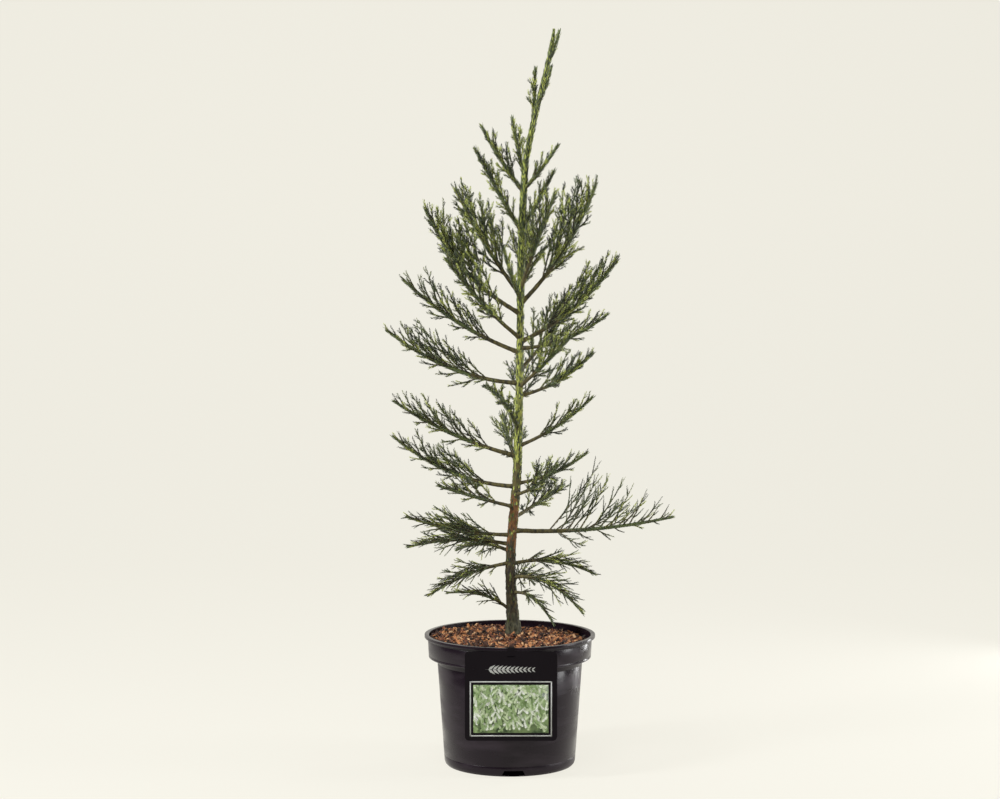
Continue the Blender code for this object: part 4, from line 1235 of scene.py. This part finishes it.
def printed_leaf(x, z, angle, length, width, depth):
    """A flat pointed leaf of one face on the label, at an angle in radians."""
    along = (cos(angle), sin(angle))
    side = (-along[1], along[0])
    return [(x + length * a * along[0] + width * b * side[0], LABEL_FRONT - depth,
             z + length * a * along[1] + width * b * side[1]) for a, b in PRINTED_OUTLINE]


def sprig(x, z, angle, length, leaves, leaf_length, depth):
    """Leaves in pairs along a printed stem, as quads."""
    quads = [printed_leaf(x, z, angle, length, SPRIG_STEM, depth)]
    for index in range(leaves):
        t = (index + 1) / (leaves + 1)
        size = leaf_length * (SPRIG_LEAF_FIRST - SPRIG_LEAF_LOSS * t)
        place_x, place_z = x + t * length * cos(angle), z + t * length * sin(angle)
        for side in (-1, 1):
            turned = angle + side * SPRIG_LEAF_TURN
            quads.append(printed_leaf(place_x, place_z, turned, size, SPRIG_LEAF_WIDTH * size, depth))
    return quads


def in_picture(quad):
    """True for a quad that stays wholly inside the picture."""
    return all(PICTURE_LEFT < x < PICTURE_RIGHT and PICTURE_BOTTOM < z < PICTURE_TOP for x, _, z in quad)


def quad_object(name, quads, materials, tones=None):
    verts = [corner for quad in quads for corner in quad]
    faces = np.arange(len(verts)).reshape(-1, 4)
    place(mesh_object(name, verts, faces, materials, tones), "label_card")


def build_label():
    """Glossy card with a line frame, a generic picture of leafy sprigs and a small sprig ornament."""
    dress("label", card_material())
    line, ground, *inks = finishes(PRINT_FINISH).values()
    half = FRAME_LINE / 2.0
    bars = [(FRAME_LEFT, FRAME_RIGHT, z - half, z + half) for z in (FRAME_TOP, FRAME_BOTTOM)]
    bars += [(x - half, x + half, FRAME_BOTTOM - half, FRAME_TOP + half) for x in (FRAME_LEFT, FRAME_RIGHT)]
    printed_boxes("label_frame", bars, line)
    printed_boxes("label_picture", [(PICTURE_LEFT, PICTURE_RIGHT, PICTURE_BOTTOM, PICTURE_TOP)], ground)
    chance = random.Random(SPRIG_SEED)
    quads, tones = [], []
    for index in range(SPRIG_COUNT):
        x = chance.uniform(PICTURE_LEFT, PICTURE_RIGHT)
        z = chance.uniform(PICTURE_BOTTOM, PICTURE_TOP)
        angle, length = chance.uniform(*SPRIG_ANGLE), chance.uniform(*SPRIG_LENGTH)
        depth = PRINT_THICKNESS + SPRIG_LAYER * (index + 1)
        grown = sprig(x, z, angle, length, SPRIG_LEAVES, SPRIG_LEAF, depth)
        grown = [quad for quad in grown if in_picture(quad)]
        quads.extend(grown)
        tones.extend([SPRIG_TONES[index % len(SPRIG_TONES)]] * len(grown))
    quad_object("label_sprigs", quads, inks, tones)
    quad_object("label_ornament", sprig(**ORNAMENT, depth=PRINT_THICKNESS), [line])


# Stage, camera and lights

def build_stage():
    """A cream floor that runs up into a backdrop."""
    rows = [(STAGE_FRONT, 0.0), (STAGE_BACK, 0.0)]
    for step in range(1, STAGE_CURVE_STEPS + 1):
        turn = 0.5 * pi * step / STAGE_CURVE_STEPS
        rows.append((STAGE_BACK + STAGE_CURVE * sin(turn), STAGE_CURVE * (1.0 - cos(turn))))
    rows.append((STAGE_BACK + STAGE_CURVE, STAGE_TOP))
    verts = [(x, y, z) for y, z in rows for x in (-STAGE_HALF_WIDTH, STAGE_HALF_WIDTH)]
    faces = [(2 * row, 2 * row + 1, 2 * row + 3, 2 * row + 2) for row in range(len(rows) - 1)]
    material, _, shader = material_base("cream_ground", STAGE_COLOUR, STAGE_ROUGHNESS)
    preset(shader, {"Specular IOR Level": STAGE_GLOSS, "Emission Color": (*BACKGROUND, 1.0),
                    "Emission Strength": STAGE_GLOW})
    mesh_object("floor_and_backdrop", verts, faces, [material], smooth=True)


def build_lights():
    world = bpy.data.worlds.new("soft_sky")
    world.use_nodes = True
    preset(world.node_tree.nodes["Background"], {"Color": (*SKY_COLOUR, 1.0), "Strength": SKY_STRENGTH})
    bpy.context.scene.world = world
    for name, lamp in AREA_LIGHTS.items():
        data = bpy.data.lights.new(name, "AREA")
        data.shape = "RECTANGLE"
        data.size, data.size_y = lamp.size
        data.energy = lamp.power
        light = add_object(name, data)
        light.location = lamp.place
        light.rotation_euler = (Vector(lamp.target) - Vector(lamp.place)).to_track_quat("-Z", "Y").to_euler()


def build_camera():
    data = bpy.data.cameras.new("camera")
    data.lens = CAMERA_LENS
    data.sensor_width = SENSOR_WIDTH
    camera = add_object("camera", data)
    camera.location = CAMERA_PLACE
    camera.rotation_euler = (radians(90.0 - CAMERA_DOWN), 0.0, 0.0)
    bpy.context.scene.camera = camera
    bpy.context.scene.view_settings.view_transform = "Standard"
    bpy.context.scene.view_settings.look = "None"


def main():
    build_camera()
    build_lights()
    build_stage()
    build_pot(pot_material())
    dress("potting_mix", mottled("mix_bed", *MIX_FINISH, distance=MIX_DEPTH))
    chips = list(finishes(CHIP_FINISH).values())
    build_chips(chips)
    build_fibres(chips)
    build_label()
    bark = finishes(BARK_FINISH, BARK_STRETCH)
    build_trunk(bark.values())
    greens = [leaf_material(name, colour) for name, colour in GREENS.items()]
    build_trunk_leaves(greens)
    limb_bark = [bark["bark_olive"], bark["bark_green"]]
    twig_materials = list(finishes(TWIG_FINISH).values())
    for limb in LIMBS:
        limb_tube(limb, limb_bark)
        grow_mass(limb, greens, twig_materials)


main()
